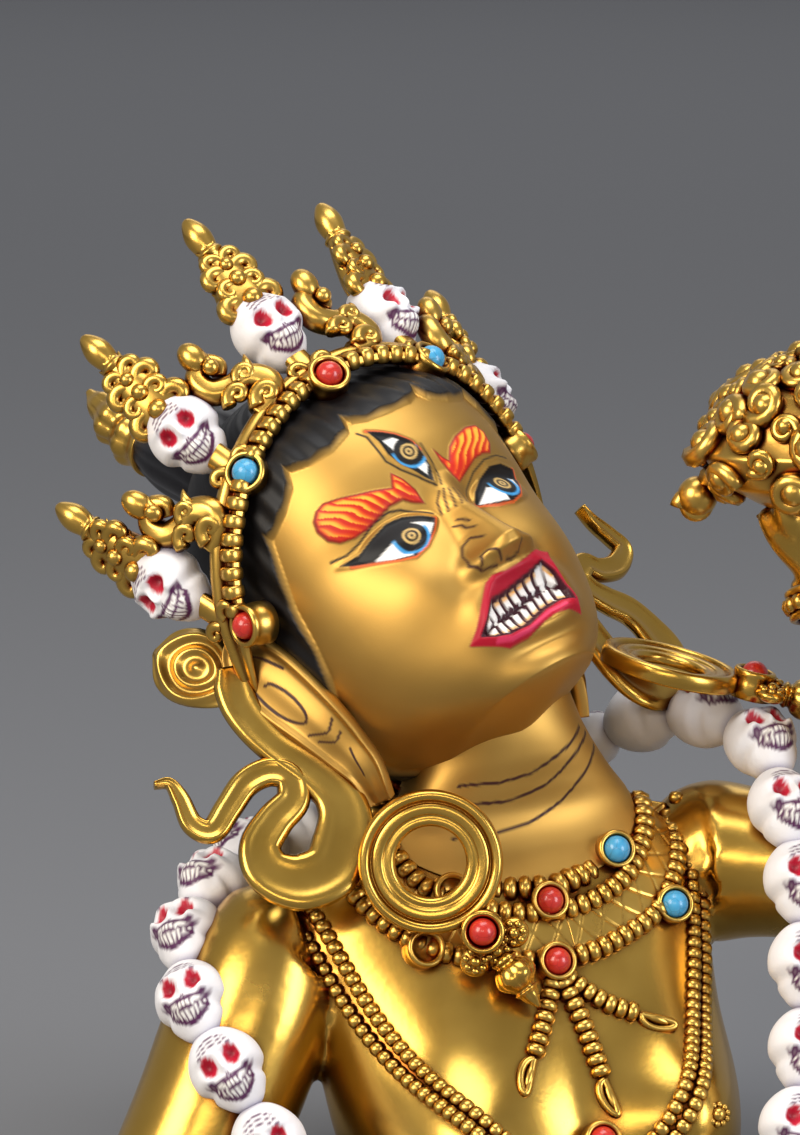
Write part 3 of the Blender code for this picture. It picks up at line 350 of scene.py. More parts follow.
def chest_front(across, height):
    """How far forward the front of the torso stands at a place given across and up."""
    levels = np.array(TORSO_LEVELS, float)
    read = read_table(levels, np.interp(np.atleast_1d(height), levels[:, 0], np.arange(len(levels))))
    share = np.clip(np.abs(across - read[:, 1]) / read[:, 3], 0, 0.98)
    cosine = np.sqrt(1 - share ** (2 / FULLNESS)) ** FULLNESS
    return read[:, 2] + read[:, 4] * cosine + breast(across, height) * np.clip(3 * cosine, 0, 1)


def limb(table, count=40):
    """An arm: a circle of the table's radius carried along the table's places."""
    table = curve_through(table, count)
    return rod(on_torso(table[:, :3]), TORSO_AXES[1], table[:, 3], 32)


parts = [woven(on_torso(torso_rings(np.linspace(0, 13, 90), 120)))]
parts += [limb(LOWERED_ARM), limb(RAISED_UPPER_ARM), limb(RAISED_FOREARM)]
parts.append(copies(unit_ball(32, 20), on_torso(PALM), TORSO_AXES, np.array([PALM_RADII])))
fingers = [(PALM + np.array([(0.8 * side, 2, 1), (1.2 * side - 1, 4.4 * reach, 3),
                             (1.4 * side - 1.5, 5.8 * reach, 6)]), 1) for side, reach in FINGERS]
fingers.append((PALM + np.array(THUMB), 1.1))  # the thumb is a tenth thicker
for steps, scale in fingers:
    radius = np.interp(np.linspace(0, 3, 16), range(4), FINGER_RADII) * scale
    parts.append(rod(curve_through(on_torso(steps), 16), TORSO_AXES[0], radius, 14))
cast = bpy.data.objects.new("Cast", mesh_of("Cast", joined(parts)))
bpy.context.scene.collection.objects.link(cast)
melt = cast.modifiers.new("Melt together", "REMESH")
melt.mode, melt.voxel_size = "VOXEL", MELT * MM
smooth = cast.modifiers.new("Burnish", "SMOOTH")
smooth.factor, smooth.iterations = 0.5, 4
body_mesh = bpy.data.meshes.new_from_object(cast.evaluated_get(bpy.context.evaluated_depsgraph_get()))
bpy.data.objects.remove(cast)
piece("body", level(body_mesh), "figure", BURNISHED)


# Neck: the same casting, left matte and painted with three fine brown crease lines.
# It stands a hair's breadth proud of the cast body, so that the paint has a skin of its own.

MATTE_GOLD = ("BC9046", "C9A054")
BROWN_LINE = "3A1710"
# Each crease: degrees round the neck, then heights on the torso
CREASES = (((-30, 44.6), (-7, 44.1), (4, 44.5), (17, 45.8), (32, 47.2), (50, 49)),
           ((-24, 42.6), (-1, 42.1), (11, 43.1), (24, 45.0), (39, 46.8), (58, 48.5)),
           ((-16, 39.2), (-3, 39.0), (6, 39.5), (17, 41.1), (29, 43.3), (47, 45.7), (60, 47)))
CREASE_WIDE = 0.36


def painted(name, gold, roughness):
    """Cold gold and mineral paint in glue on gilt copper: the point colour covers the metal where 'cover' is 1.
    Cold gold is powder brushed on, so it is matte and evenly grained; the paint is flat with a faint sheen."""
    material = bpy.data.materials.new(name)
    material.use_nodes = True
    place = add(material, "ShaderNodeTexCoord", {}).outputs["Object"]
    cloud, powder = noise(material, place, 110.0, 4.0), noise(material, place, 5000.0, 2.0)
    metal = mixed(material, cloud, linear(gold[0]), linear(gold[1]))
    paint = add(material, "ShaderNodeAttribute", {}, attribute_name="paint").outputs["Color"]
    cover = add(material, "ShaderNodeAttribute", {}, attribute_name="cover").outputs["Fac"]
    colour = mixed(material, cover, metal, paint)
    bare = add(material, "ShaderNodeMath", {0: 1.0, 1: cover}, operation="SUBTRACT")
    rough = add(material, "ShaderNodeMapRange", {"Value": cloud, "To Min": roughness - 0.03,
                "To Max": roughness + 0.04})
    relief = add(material, "ShaderNodeBump", {"Height": powder, "Strength": 0.12, "Distance": 0.05 * MM})
    wire(material, material.node_tree.nodes["Principled BSDF"],
         {"Base Color": colour, "Metallic": bare.outputs["Value"],
          "Roughness": rough.outputs["Result"], "Specular IOR Level": 0.3, "Normal": relief.outputs["Normal"]})
    return material


COLD_GOLD = painted("Cold gold and mineral paint on copper", MATTE_GOLD, 0.47)


def brush(coat, code, amount):
    """Lays a colour over a coat, paint and cover alike: the old times one minus the amount, and the new times it."""
    paint, cover = coat
    amount = np.clip(amount, 0, 1)
    paint = paint + (np.array(linear(code)) - paint) * amount[:, None]
    return paint, cover + (1 - cover) * amount


def bare_coat(count):
    """No paint: black nowhere covering."""
    return np.tile((0.0, 0.0, 0.0, 1.0), (count, 1)), np.zeros(count)


# The lower edge of the matte gold, under the ring of beads: degrees round the neck and height on the torso
NECK_EDGE = ((-180, 49), (-90, 46.5), (-50, 42), (-27, 37.5), (-9, 33), (7, 31.4), (23, 33.4), (42, 37.5), (66, 42),
             (90, 46), (180, 49))
NECK_AROUND, NECK_UP = 240, 150  # points round the neck and up it
NECK_TOP, NECK_PROUD = 60.9, 0.14  # height where the skin ends, and how far it stands off the cast body
degrees = np.degrees(np.arctan2(*circle(NECK_AROUND).T[::-1]))
low = np.interp(degrees, *np.array(NECK_EDGE).T)
tall = low + (NECK_TOP - low) * np.linspace(0, 1, NECK_UP)[:, None]
rows = np.interp(tall, np.array(TORSO_LEVELS)[:, 0], np.arange(len(TORSO_LEVELS)))
levels = read_table(TORSO_LEVELS, rows.ravel()).reshape(NECK_UP, NECK_AROUND, 6)
c, s = fuller(circle(NECK_AROUND).T)
across = levels[..., 1] + (levels[..., 3] + NECK_PROUD) * s
forward = levels[..., 2] + (np.where(c > 0, levels[..., 4], levels[..., 5]) + NECK_PROUD) * c
forward = forward + breast(across, levels[..., 0]) * np.clip(3 * c, 0, 1)
rings = np.stack([across, forward, levels[..., 0]], axis=-1)
shape = woven(on_torso(rings))
coat = bare_coat(len(shape[0]))
around = np.append(np.broadcast_to(degrees, rings.shape[:2]).ravel(), (180, 180))
heights = np.append(rings[..., 2].ravel(), (0, 0))
for crease in CREASES:
    along, up = np.array(crease, float).T
    line = np.interp(around, along, up, left=-99, right=-99)
    coat = brush(coat, BROWN_LINE, (CREASE_WIDE / 2 - np.abs(heights - line)) / 0.08 + 0.5)
piece("neck", mesh_of("neck", shape, paint=coat[0], cover=coat[1]), "figure", COLD_GOLD)


# Head: cast with the body, its face brushed with cold gold and painted, its hair painted black.
# The face is thrown back.  Lids, lips, nostrils and teeth are modelled, then painted over.

HEAD_PLACE = np.array([-15.5, 13.5, 63.9])
HEAD_AXES = pose(25.9, 36.5, 19.2)
# Outlines in front, at the side and behind, as (out from the middle, up) in face units
FRONT_OUTLINE = ((0.01, 0.74), (0.13, 0.705), (0.24, 0.62), (0.35, 0.53), (0.435, 0.43), (0.465, 0.30), (0.465, 0.17),
                 (0.46, 0.04), (0.467, -0.09), (0.475, -0.22), (0.475, -0.35), (0.462, -0.455), (0.42, -0.54),
                 (0.29, -0.60), (0.01, -0.64))
SIDE_OUTLINE = ((0.01, 0.74), (0.16, 0.72), (0.30, 0.66), (0.39, 0.56), (0.445, 0.44), (0.468, 0.30), (0.472, 0.17),
                (0.466, 0.04), (0.458, -0.09), (0.44, -0.22), (0.40, -0.335), (0.335, -0.42), (0.24, -0.48),
                (0.12, -0.545), (0.01, -0.64))
BACK_OUTLINE = ((0.01, 0.74), (0.18, 0.73), (0.34, 0.67), (0.45, 0.56), (0.52, 0.42), (0.555, 0.28), (0.56, 0.14),
                (0.54, 0.0), (0.50, -0.12), (0.44, -0.22), (0.37, -0.30), (0.31, -0.37), (0.23, -0.43),
                (0.12, -0.52), (0.01, -0.64))
HAIR_THICK = 0.022
# Edge of the hair: degrees from straight ahead and up, with a cusp at the end of each lock
HAIR_EDGE = ((0, 0.405), (8, 0.408), (13.5, 0.425), (15, 0.445), (17, 0.400), (26, 0.376), (36, 0.376), (43, 0.392),
             (45, 0.402), (47, 0.350), (54, 0.305), (62, 0.275), (66, 0.268), (67, 0.235), (70, 0.160), (73, 0.095),
             (74.5, 0.06), (77, -0.05), (81, -0.14), (85, -0.20), (90, -0.26), (96, -0.30), (104, -0.36), (116, -0.6))
LEFT_EYE = ((-0.362, 0.076), (-0.31, 0.070), (-0.262, 0.090), (-0.205, 0.108), (-0.159, 0.102), (-0.117, 0.078),
            (-0.079, 0.048), (-0.108, 0.016), (-0.155, -0.016), (-0.203, -0.030), (-0.24, -0.014), (-0.282, 0.015),
            (-0.336, 0.052))
RIGHT_EYE = ((0.052, 0.028), (0.088, 0.072), (0.143, 0.110), (0.205, 0.138), (0.262, 0.140), (0.312, 0.118),
             (0.290, 0.070), (0.240, 0.018), (0.190, 0.002), (0.135, 0.008), (0.090, 0.022))
THIRD_EYE = ((-0.108, 0.376), (-0.098, 0.327), (-0.100, 0.280), (-0.084, 0.235), (-0.056, 0.197), (-0.024, 0.142),
             (-0.003, 0.183), (0.002, 0.217), (0.001, 0.252), (-0.010, 0.290), (-0.039, 0.327), (-0.070, 0.352))
LIPS = ((-0.210, -0.338), (-0.183, -0.312), (-0.150, -0.268), (-0.100, -0.212), (-0.077, -0.202), (-0.034, -0.208),
        (0.012, -0.206), (0.053, -0.198), (0.130, -0.176), (0.172, -0.190), (0.152, -0.247), (0.150, -0.306),
        (0.170, -0.356), (0.162, -0.394), (0.100, -0.378), (0.049, -0.374), (0.0, -0.384), (-0.067, -0.404),
        (-0.123, -0.402), (-0.169, -0.370))
MOUTH = ((-0.185, -0.336), (-0.157, -0.308), (-0.105, -0.256), (-0.043, -0.248), (0.009, -0.238), (0.050, -0.231),
         (0.106, -0.217), (0.130, -0.259), (0.140, -0.314), (0.147, -0.356), (0.093, -0.342), (0.038, -0.348),
         (-0.054, -0.376), (-0.116, -0.375), (-0.154, -0.359))
LEFT_BROW = ((-0.358, 0.227), (-0.342, 0.247), (-0.319, 0.255), (-0.278, 0.240), (-0.236, 0.222), (-0.19, 0.206),
             (-0.145, 0.188), (-0.124, 0.230), (-0.100, 0.195), (-0.082, 0.150), (-0.075, 0.102), (-0.106, 0.120),
             (-0.130, 0.140), (-0.172, 0.142), (-0.217, 0.130), (-0.261, 0.118), (-0.293, 0.116), (-0.332, 0.128),
             (-0.354, 0.154), (-0.363, 0.195))
RIGHT_BROW = ((0.060, 0.114), (0.046, 0.144), (0.038, 0.201), (0.040, 0.244), (0.054, 0.207), (0.066, 0.190),
              (0.096, 0.228), (0.139, 0.253), (0.199, 0.272), (0.253, 0.275), (0.276, 0.247), (0.268, 0.205),
              (0.241, 0.173), (0.204, 0.175), (0.164, 0.167), (0.115, 0.142))
IRISES = ((-0.178, 0.031), (0.212, 0.074), (-0.034, 0.262))
IRIS = 0.046  # radius of each painted iris
BLACK, WHITE, ORANGE, CRIMSON, PINK = "0B090A", "F3F0EA", "E4652A", "B3122C", "D8385E"
SKY, PALE_GOLD, MOUTH_DARK = "3F97D2", "D6B26C", "3D0F1E"
FLAME_DARK, FLAME_RED, FLAME_ORANGE, FLAME_YELLOW = "8E140C", "C62410", "F0641C", "FFB53A"
# Filled shapes and lines in the order they are painted: colour, whether filled, half width, places
FACE_PAINT = (
    (ORANGE, True, 0.007, LEFT_EYE[6:]),
    (ORANGE, True, 0.007, RIGHT_EYE[5:] + RIGHT_EYE[:1]),
    (ORANGE, True, 0.006, THIRD_EYE[:1] + THIRD_EYE[8:]),
    (BLACK, True, 0.0, LEFT_EYE), (BLACK, True, 0.0, RIGHT_EYE), (BLACK, True, 0.0, THIRD_EYE),
    (WHITE, True, 0.0, ((-0.292, 0.024), (-0.236, 0.040), (-0.205, 0.040), (-0.190, -0.010), (-0.206, -0.022), (-0.252, -0.003))),
    (WHITE, True, 0.0, ((-0.150, 0.070), (-0.128, 0.058), (-0.096, 0.037), (-0.126, 0.010), (-0.165, -0.008))),
    (WHITE, True, 0.0, ((0.074, 0.030), (0.140, 0.074), (0.180, 0.060), (0.180, 0.010), (0.110, 0.020))),
    (WHITE, True, 0.0, ((0.245, 0.090), (0.282, 0.085), (0.262, 0.050), (0.225, 0.022), (0.215, 0.030))),
    (WHITE, True, 0.0, ((-0.084, 0.325), (-0.052, 0.322), (-0.030, 0.298), (-0.072, 0.278))),
    (WHITE, True, 0.0, ((-0.046, 0.222), (-0.010, 0.234), (-0.008, 0.200), (-0.024, 0.176))),
    (BLACK, False, 0.0035, ((-0.368, 0.100), (-0.332, 0.090), (-0.289, 0.100), (-0.236, 0.124), (-0.182, 0.133),
                            (-0.147, 0.122), (-0.105, 0.092), (-0.074, 0.066))),
    (BLACK, False, 0.0035, ((0.030, 0.040), (0.070, 0.088), (0.135, 0.134), (0.200, 0.160), (0.262, 0.166), (0.310, 0.155))),
    (BLACK, False, 0.0035, ((-0.132, 0.384), (-0.116, 0.359), (-0.115, 0.310), (-0.115, 0.264), (-0.091, 0.222),
                            (-0.055, 0.180), (-0.024, 0.132))),
    (BLACK, False, 0.0030, ((0.016, 0.270), (0.014, 0.211), (0.008, 0.167), (-0.010, 0.128))),
    (BROWN_LINE, False, 0.0026, ((-0.028, 0.112), (-0.048, 0.088), (-0.056, 0.048))),
    (BROWN_LINE, False, 0.0026, ((-0.014, 0.112), (-0.029, 0.086), (-0.040, 0.045))),
    (BROWN_LINE, False, 0.0026, ((0.000, 0.108), (-0.010, 0.082), (-0.024, 0.042))),
    (BROWN_LINE, False, 0.0026, ((0.013, 0.102), (0.009, 0.075), (-0.008, 0.040))),
    (BROWN_LINE, False, 0.0026, ((0.026, 0.094), (0.026, 0.068), (0.008, 0.038))),
    (BROWN_LINE, False, 0.0030, ((-0.043, 0.007), (-0.036, -0.004), (-0.032, -0.022))),
    (BROWN_LINE, False, 0.0030, ((-0.058, -0.004), (-0.046, -0.016), (-0.044, -0.034), (-0.034, -0.048))),
    (BROWN_LINE, False, 0.0036, ((-0.043, -0.091), (-0.055, -0.066), (-0.078, -0.074), (-0.099, -0.103),
                                 (-0.116, -0.145), (-0.099, -0.178), (-0.056, -0.186))),
    (BROWN_LINE, False, 0.0036, ((-0.042, -0.180), (-0.058, -0.152), (-0.072, -0.140), (-0.090, -0.143), (-0.097, -0.168))),
    (BROWN_LINE, False, 0.0036, ((0.030, -0.160), (0.022, -0.180), (-0.006, -0.188), (-0.024, -0.184))),
    (CRIMSON, True, 0.003, LIPS),
    (PINK, False, 0.006, ((-0.152, -0.372), (-0.116, -0.389), (-0.060, -0.391), (0.0, -0.372), (0.040, -0.362), (0.10, -0.362))),
    (MOUTH_DARK, True, 0.002, MOUTH),
)
UPPER_GUM = ((-0.185, -0.336), (-0.157, -0.308), (-0.105, -0.259), (-0.043, -0.250), (0.009, -0.240), (0.106, -0.221),
             (0.147, -0.300))
LOWER_GUM = ((-0.185, -0.340), (-0.154, -0.357), (-0.116, -0.373), (-0.054, -0.374), (0.038, -0.346), (0.093, -0.341),
             (0.147, -0.354))
TOOTH = 0.033  # spacing of the teeth


def on_head(points):
    """Places across, forward and up in face units, as places on the statue."""
    return HEAD_PLACE + np.asarray(points, float) * FACE @ HEAD_AXES


def bump(across, up, at_across, at_up, wide, high):
    """A soft round rise: e to the minus squared distances over its width and height."""
    return np.exp(-(((across - at_across) / wide) ** 2) - ((up - at_up) / high) ** 2)


def from_line(across, up, places, filled):
    """Distance to the nearest stretch of a line of places; inside a filled outline it counts as negative."""
    start = np.array(places, float)
    end = np.roll(start, -1, axis=0) if filled else start[1:]
    start = start if filled else start[:-1]
    point = np.stack([across, up], axis=-1)[:, None]
    run = end - start
    share = np.clip(np.sum((point - start) * run, axis=-1) / np.sum(run * run, axis=-1), 0, 1)
    far = np.linalg.norm(point - start - share[..., None] * run, axis=-1).min(axis=1)
    if not filled:
        return far
    straddle = (start[:, 1] > point[..., 1]) != (end[:, 1] > point[..., 1])
    rise = np.where(run[:, 1] == 0, 1e-9, run[:, 1])
    left = point[..., 0] < start[:, 0] + (point[..., 1] - start[:, 1]) * run[:, 0] / rise
    return np.where(np.sum(straddle & left, axis=1) % 2 == 1, -far, far)


def face_relief(across, up):
    """How far the features stand forward of the plain head, as a sum of soft rises, in face units."""
    side = np.abs(across)
    bridge = np.interp(up, [-0.225, -0.19, -0.16, -0.13, -0.05, 0.03, 0.10, 0.17],
                       [0, 0.05, 0.135, 0.145, 0.10, 0.055, 0.025, 0])
    bridge_wide = np.interp(up, [-0.2, -0.13, -0.05, 0.05, 0.1], [0.075, 0.07, 0.05, 0.04, 0.05])
    relief = bridge * np.exp(-((side / bridge_wide) ** 2.4))
    relief = relief + 0.06 * bump(side, up, 0.085, -0.155, 0.042, 0.038)
    relief = relief - 0.035 * bump(side, up, 0.19, 0.085, 0.13, 0.06)
    eyeball = np.clip(1 - ((side - 0.19) / 0.125) ** 2 - ((up - 0.055) / 0.06) ** 2, 0, 1)
    relief = relief + 0.03 * eyeball
    mouth = ((side / 0.17) ** 2.5 + (np.abs(up + 0.30) / 0.10) ** 2.5) ** 0.4
    relief = relief + 0.03 * np.exp(-(((mouth - 0.9) / 0.28) ** 2))
    relief = relief + 0.03 * bump(side, up, 0.24, -0.12, 0.13, 0.11)
    relief = relief - 0.016 * bump(across, up, 0, -0.430, 0.14, 0.03)
    return relief + 0.022 * bump(across, up, 0, -0.500, 0.14, 0.07)


def tooth_share(across, up):
    """Where a place lies between the lower gum, 0, and the upper gum, 1."""
    high = np.interp(across, *np.array(UPPER_GUM).T)
    low = np.interp(across, *np.array(LOWER_GUM).T)
    return (up - low) / np.maximum(high - low, 0.01)


def tooth_edge(across):
    """How near a place lies to the gap between two teeth: 0 in the middle of a tooth and 1 at its edge."""
    return np.abs((across / TOOTH) % 1 - 0.5) * 2


def fine_relief(across, up):
    """Lids, lips and teeth: a ridge along each eye, a roll round the mouth, a hollow inside it and rows of teeth."""
    front = np.abs(across) < 0.40
    relief = np.zeros(len(across))
    a, u = across[front], up[front]
    fine = np.zeros(len(a))
    for eye in (LEFT_EYE, RIGHT_EYE, THIRD_EYE):
        fine += 0.005 * np.exp(-((from_line(a, u, eye, True) / 0.007) ** 2))
    lip, gap = from_line(a, u, LIPS, True), from_line(a, u, MOUTH, True)
    fine += 0.012 * np.clip(-lip / 0.014, 0, 1) ** 0.5 * np.clip(gap / 0.006 + 0.5, 0, 1)
    fine -= 0.020 * np.clip(-gap / 0.010, 0, 1)
    share = tooth_share(a, u)
    round_top = np.sqrt(np.clip(1 - tooth_edge(a) ** 3, 0, 1))
    tooth = round_top * np.clip(-gap / 0.006, 0, 1) * (np.abs(share - 0.5) > 0.06)
    fine += 0.014 * tooth
    for side, at, deep in ((-0.075, -0.162, 0.012), (0.035, -0.172, 0.010)):
        fine -= deep * bump(a, u, side, at, 0.016, 0.012)
    for brow in (LEFT_BROW, RIGHT_BROW):
        fine += 0.006 * np.clip(-from_line(a, u, brow, True) / 0.02, 0, 1) ** 0.5
    relief[front] = fine
    return relief


step = np.concatenate([np.linspace(0, 3.6, 20, endpoint=False), np.linspace(3.6, 11.8, 222, endpoint=False),
                       np.linspace(11.8, 14, 18)])
front, side, back = (read_table(outline, step) for outline in (FRONT_OUTLINE, SIDE_OUTLINE, BACK_OUTLINE))
angle = np.radians(np.concatenate([np.linspace(-94, -55, 54, endpoint=False), np.linspace(-55, 50, 232, endpoint=False),
                                   np.linspace(50, 84, 30, endpoint=False), np.linspace(84, 266, 42, endpoint=False)]))
c, s = np.cos(angle), np.sin(angle)
up = front[:, 1:] * np.clip(c, 0, 1) ** 2 + back[:, 1:] * np.clip(-c, 0, 1) ** 2 + side[:, 1:] * s**2
up = np.where(up < -0.50, -0.50 + 0.35 * (up + 0.50), up)  # the throat rises behind the jaw into the neck
across = side[:, :1] * np.sign(s) * np.abs(s) ** 0.9
reach = np.where(c > 0, front[:, :1], back[:, :1])
finer = fine_relief(across.ravel(), up.ravel()).reshape(across.shape)
forward = reach * np.sign(c) * np.abs(c) ** 0.9 + (face_relief(across, up) + finer) * np.clip(2 * c, 0, 1)
swung = np.abs(np.degrees(np.arctan2(s, c)))
edge, beyond = (np.interp(swung + more, *np.array(HAIR_EDGE).T) for more in (0, 1))
steep = np.hypot(1, (beyond - edge) / 0.008)  # one degree is 0.008 across; keeps the edge as crisp where it is steep
hair = np.clip((up - edge) / (0.010 * steep) + 0.5, 0, 1)
place = np.stack([across, forward, up], axis=-1)
locks = 0.85 + 0.15 * np.cos(2 * np.pi * (angle * 6 + 3 * up))
shape = woven(place + (HAIR_THICK * hair * locks)[..., None] * unit(place))
points, faces = shape
a, f, u = points.T
ahead = (f > 0) & (np.abs(a) < 0.46)
coat = bare_coat(int(ahead.sum()))
a, u = a[ahead], u[ahead]
SOFT = 0.0045  # the edge of a brush stroke
for code, filled, half, places in FACE_PAINT:
    coat = brush(coat, code, (half - from_line(a, u, places, filled)) / SOFT + 0.5)
eyes = np.minimum.reduce([from_line(a, u, eye, True) for eye in (LEFT_EYE, RIGHT_EYE, THIRD_EYE)])
within_eye = -eyes / SOFT + 0.5
for x, y in IRISES:
    far = np.hypot(a - x, u - y)
    below = (y + 0.4 * IRIS - u) / 0.012
    coat = brush(coat, SKY, np.minimum.reduce([(1.20 * IRIS - far) / SOFT + 0.5, within_eye, below]))
    for code, radius in ((BLACK, 1.0), (PALE_GOLD, 0.56), (BLACK, 0.42), (PALE_GOLD, 0.24), (BLACK, 0.11)):
        coat = brush(coat, code, np.minimum((radius * IRIS - far) / SOFT + 0.5, within_eye))
share = tooth_share(a, u)
in_mouth = -from_line(a, u, MOUTH, True) / SOFT - 1.0
jag = 0.05 * np.sin(a * 210) + 0.03 * np.sin(a * 97)
upper_row = np.minimum(share - 0.56 - jag, 0.94 - share)
lower_row = np.minimum(share - 0.08, 0.44 + jag - share)
row = np.where(share > 0.5, upper_row, lower_row) / 0.06
enamel = np.minimum.reduce([in_mouth, row, (0.62 - tooth_edge(a)) / 0.2 + 0.5, (0.150 - np.abs(a + 0.012)) / 0.01])
coat = brush(coat, WHITE, enamel)
coat = brush(coat, FLAME_YELLOW, np.minimum(enamel, (np.abs(share - 0.5) - 0.30) / 0.08))
fang = np.minimum((0.013 * (share + 0.1) - np.abs(np.abs(a + 0.014) - 0.104)) / 0.004 + 0.5, in_mouth)
coat = brush(coat, WHITE, fang)
for brow, lean in ((LEFT_BROW, 1.1), (RIGHT_BROW, -0.9)):
    inside = from_line(a, u, brow, True)
    coat = brush(coat, FLAME_DARK, -inside / SOFT + 0.5)
    coat = brush(coat, FLAME_RED, (-inside - 0.004) / SOFT)
    # Tongues of flame: slanted rows, each bright on its upper side and narrowing towards its lower end
    tongue = (33 * (u + lean * a) + 0.15 * np.sin(u * 90)) % 1
    high = np.clip((u - np.mean(brow, axis=0)[1]) / 0.05, -1, 1)
    bright = np.clip(1.5 * (0.66 + 0.2 * high - tongue) * (1.0 + 0.5 * high), 0, 1)
    coat = brush(coat, FLAME_ORANGE, np.minimum(2.2 * bright, (-inside - 0.005) / 0.006))
    coat = brush(coat, FLAME_YELLOW, np.minimum(2.2 * (bright - 0.30), (-inside - 0.008) / 0.008))
head_paint, head_cover = bare_coat(len(points))
head_paint[ahead], head_cover[ahead] = coat
covered = np.append(hair.ravel(), (1.0, 0.0))
head_paint, head_cover = brush((head_paint, head_cover), BLACK, covered)
piece("head", mesh_of("head", (on_head(points), faces), paint=head_paint, cover=head_cover), "figure", COLD_GOLD)


# Hair: cast as locks gathered into a topknot and falling down the back, then painted black.
# Real hair paint is lamp black in glue, nearly smooth, so it keeps a soft sheen along each lock.

# Places in face units on the head, then radius; for the fall, places on the torso, half width and half depth
TOPKNOT = ((0, -0.30, 0.58, 0.16), (0, -0.42, 0.76, 0.17), (0, -0.58, 0.90, 0.14), (0, -0.70, 1.0, 0.085))
TOPKNOT_JEWEL = ((0, -0.69, 0.99, 0.095), (0, -0.72, 1.03, 0.10), (0, -0.76, 1.10, 0.085), (0, -0.79, 1.18, 0.075),
                 (0, -0.82, 1.25, 0.04), (0, -0.83, 1.30, 0.012))
HAIR_FALL = ((-4.0, -6.5, 69.5, 11, 4.5), (-3.5, -9, 66, 15.0, 8.5), (-2, -10.5, 56, 14, 8), (0, -12.0, 46, 12.5, 6.5),
             (0, -14.2, 36, 12.5, 5.0), (0, -15.0, 24, 11.5, 4.2), (0, -14.6, 12, 9.0, 3.6), (0, -13.6, 3, 6.0, 2.5))
LAMP_BLACK = bpy.data.materials.new("Lamp black paint on copper")
LAMP_BLACK.use_nodes = True
coord = add(LAMP_BLACK, "ShaderNodeTexCoord", {}).outputs["Object"]
streak = noise(LAMP_BLACK, coord, 900.0, 3.0)
tint = mixed(LAMP_BLACK, streak, linear("08080A"), linear("17151A"))
fret = add(LAMP_BLACK, "ShaderNodeBump", {"Height": streak, "Strength": 0.15, "Distance": 0.1 * MM})
wire(LAMP_BLACK, LAMP_BLACK.node_tree.nodes["Principled BSDF"],
     {"Base Color": tint, "Roughness": 0.36, "Specular IOR Level": 0.3, "Normal": fret.outputs["Normal"]})
LOCK_DEEP = 0.05  # how far the radius dips between two locks, as a share


def lock_profile(width, depth, locks, sway):
    """An oval whose radius dips between locks, with the size of the cosine of half the turn times their number."""
    turn = np.arange(96) / 96 * 2 * np.pi
    swell = 1 - LOCK_DEEP + LOCK_DEEP * np.abs(np.cos(0.5 * locks * turn + sway[:, None]))
    return np.stack([width[:, None] * np.cos(turn) * swell, depth[:, None] * np.sin(turn) * swell], axis=-1)


table = curve_through(TOPKNOT, 40)
knot = woven(carried(on_head(table[:, :3]), HEAD_AXES[1], lock_profile(table[:, 3] * FACE, table[:, 3] * FACE, 12,
                                                                      np.linspace(0, 3, 40))))
table = curve_through(HAIR_FALL, 90)
fall = woven(carried(on_torso(table[:, :3]), TORSO_AXES[1], lock_profile(table[:, 3], table[:, 4], 18,
                                                                        1.2 * np.sin(np.linspace(0, 9, 90)))))
piece("hair", mesh_of("hair", joined([knot, fall])), "figure", LAMP_BLACK)

table = curve_through(TOPKNOT_JEWEL, 70)
flute = 1 + 0.10 * np.abs(np.cos(4 * np.arange(64) / 64 * 2 * np.pi)) * np.sin(np.linspace(0, np.pi, 70))[:, None]
ripple = 1 + 0.10 * np.cos(np.linspace(0, 7 * np.pi, 70))
profile = (0.92 * table[:, 3] * FACE * ripple)[:, None, None] * flute[..., None] * circle(64)
piece("topknot_jewel", mesh_of("topknot_jewel", woven(carried(on_head(table[:, :3]), HEAD_AXES[1], profile))), "figure",
      CHASED)


# Ears: cast with the head, long and flat, with a raised rim.  Cold gold, a painted brown spiral inside.
# The lobes are drawn down by the weight of the rings.

EAR = ((0.500, -0.095, 0.13, 0.04), (0.535, -0.085, 0.06, 0.088), (0.530, -0.04, -0.07, 0.105),
       (0.505, -0.005, -0.22, 0.092), (0.475, -0.005, -0.33, 0.075), (0.455, -0.010, -0.413, 0.060),
       (0.43, -0.06, -0.50, 0.04))
EAR_THICK = 0.035
EAR_FLARE = 0.75  # how far the ear turns to the front rather than to the side
# The painted spiral: share of the ear's length from its top, share of its half width towards the face
EAR_SPIRAL = ((0.30, -0.55), (0.16, -0.30), (0.14, 0.15), (0.24, 0.50), (0.42, 0.55), (0.52, 0.30), (0.50, 0.0),
              (0.40, -0.12), (0.30, 0.0), (0.28, 0.18))
EAR_CREASES = (((0.60, -0.45), (0.62, 0.0), (0.57, 0.50)), ((0.66, -0.35), (0.67, 0.05), (0.62, 0.45)),
               ((0.74, -0.2), (0.80, 0.0), (0.86, 0.1)))

# Side, name, what the outline is scaled by, and how far back it lies: the right ear is closer in and slimmer
EARS = ((-1, "left", (1, 1, 1, 1), 0), (1, "right", (0.90, 1, 1, 0.8), 0.12))
EAR_STEPS, EAR_ACROSS = 120, 60  # points down the ear, and across its front


def across_and_back(front, behind):
    """Shares of a half width: from -1 to 1 over the front, then back again behind."""
    return np.concatenate([np.linspace(-1, 1, front), np.linspace(1, -1, behind)[1:-1]])


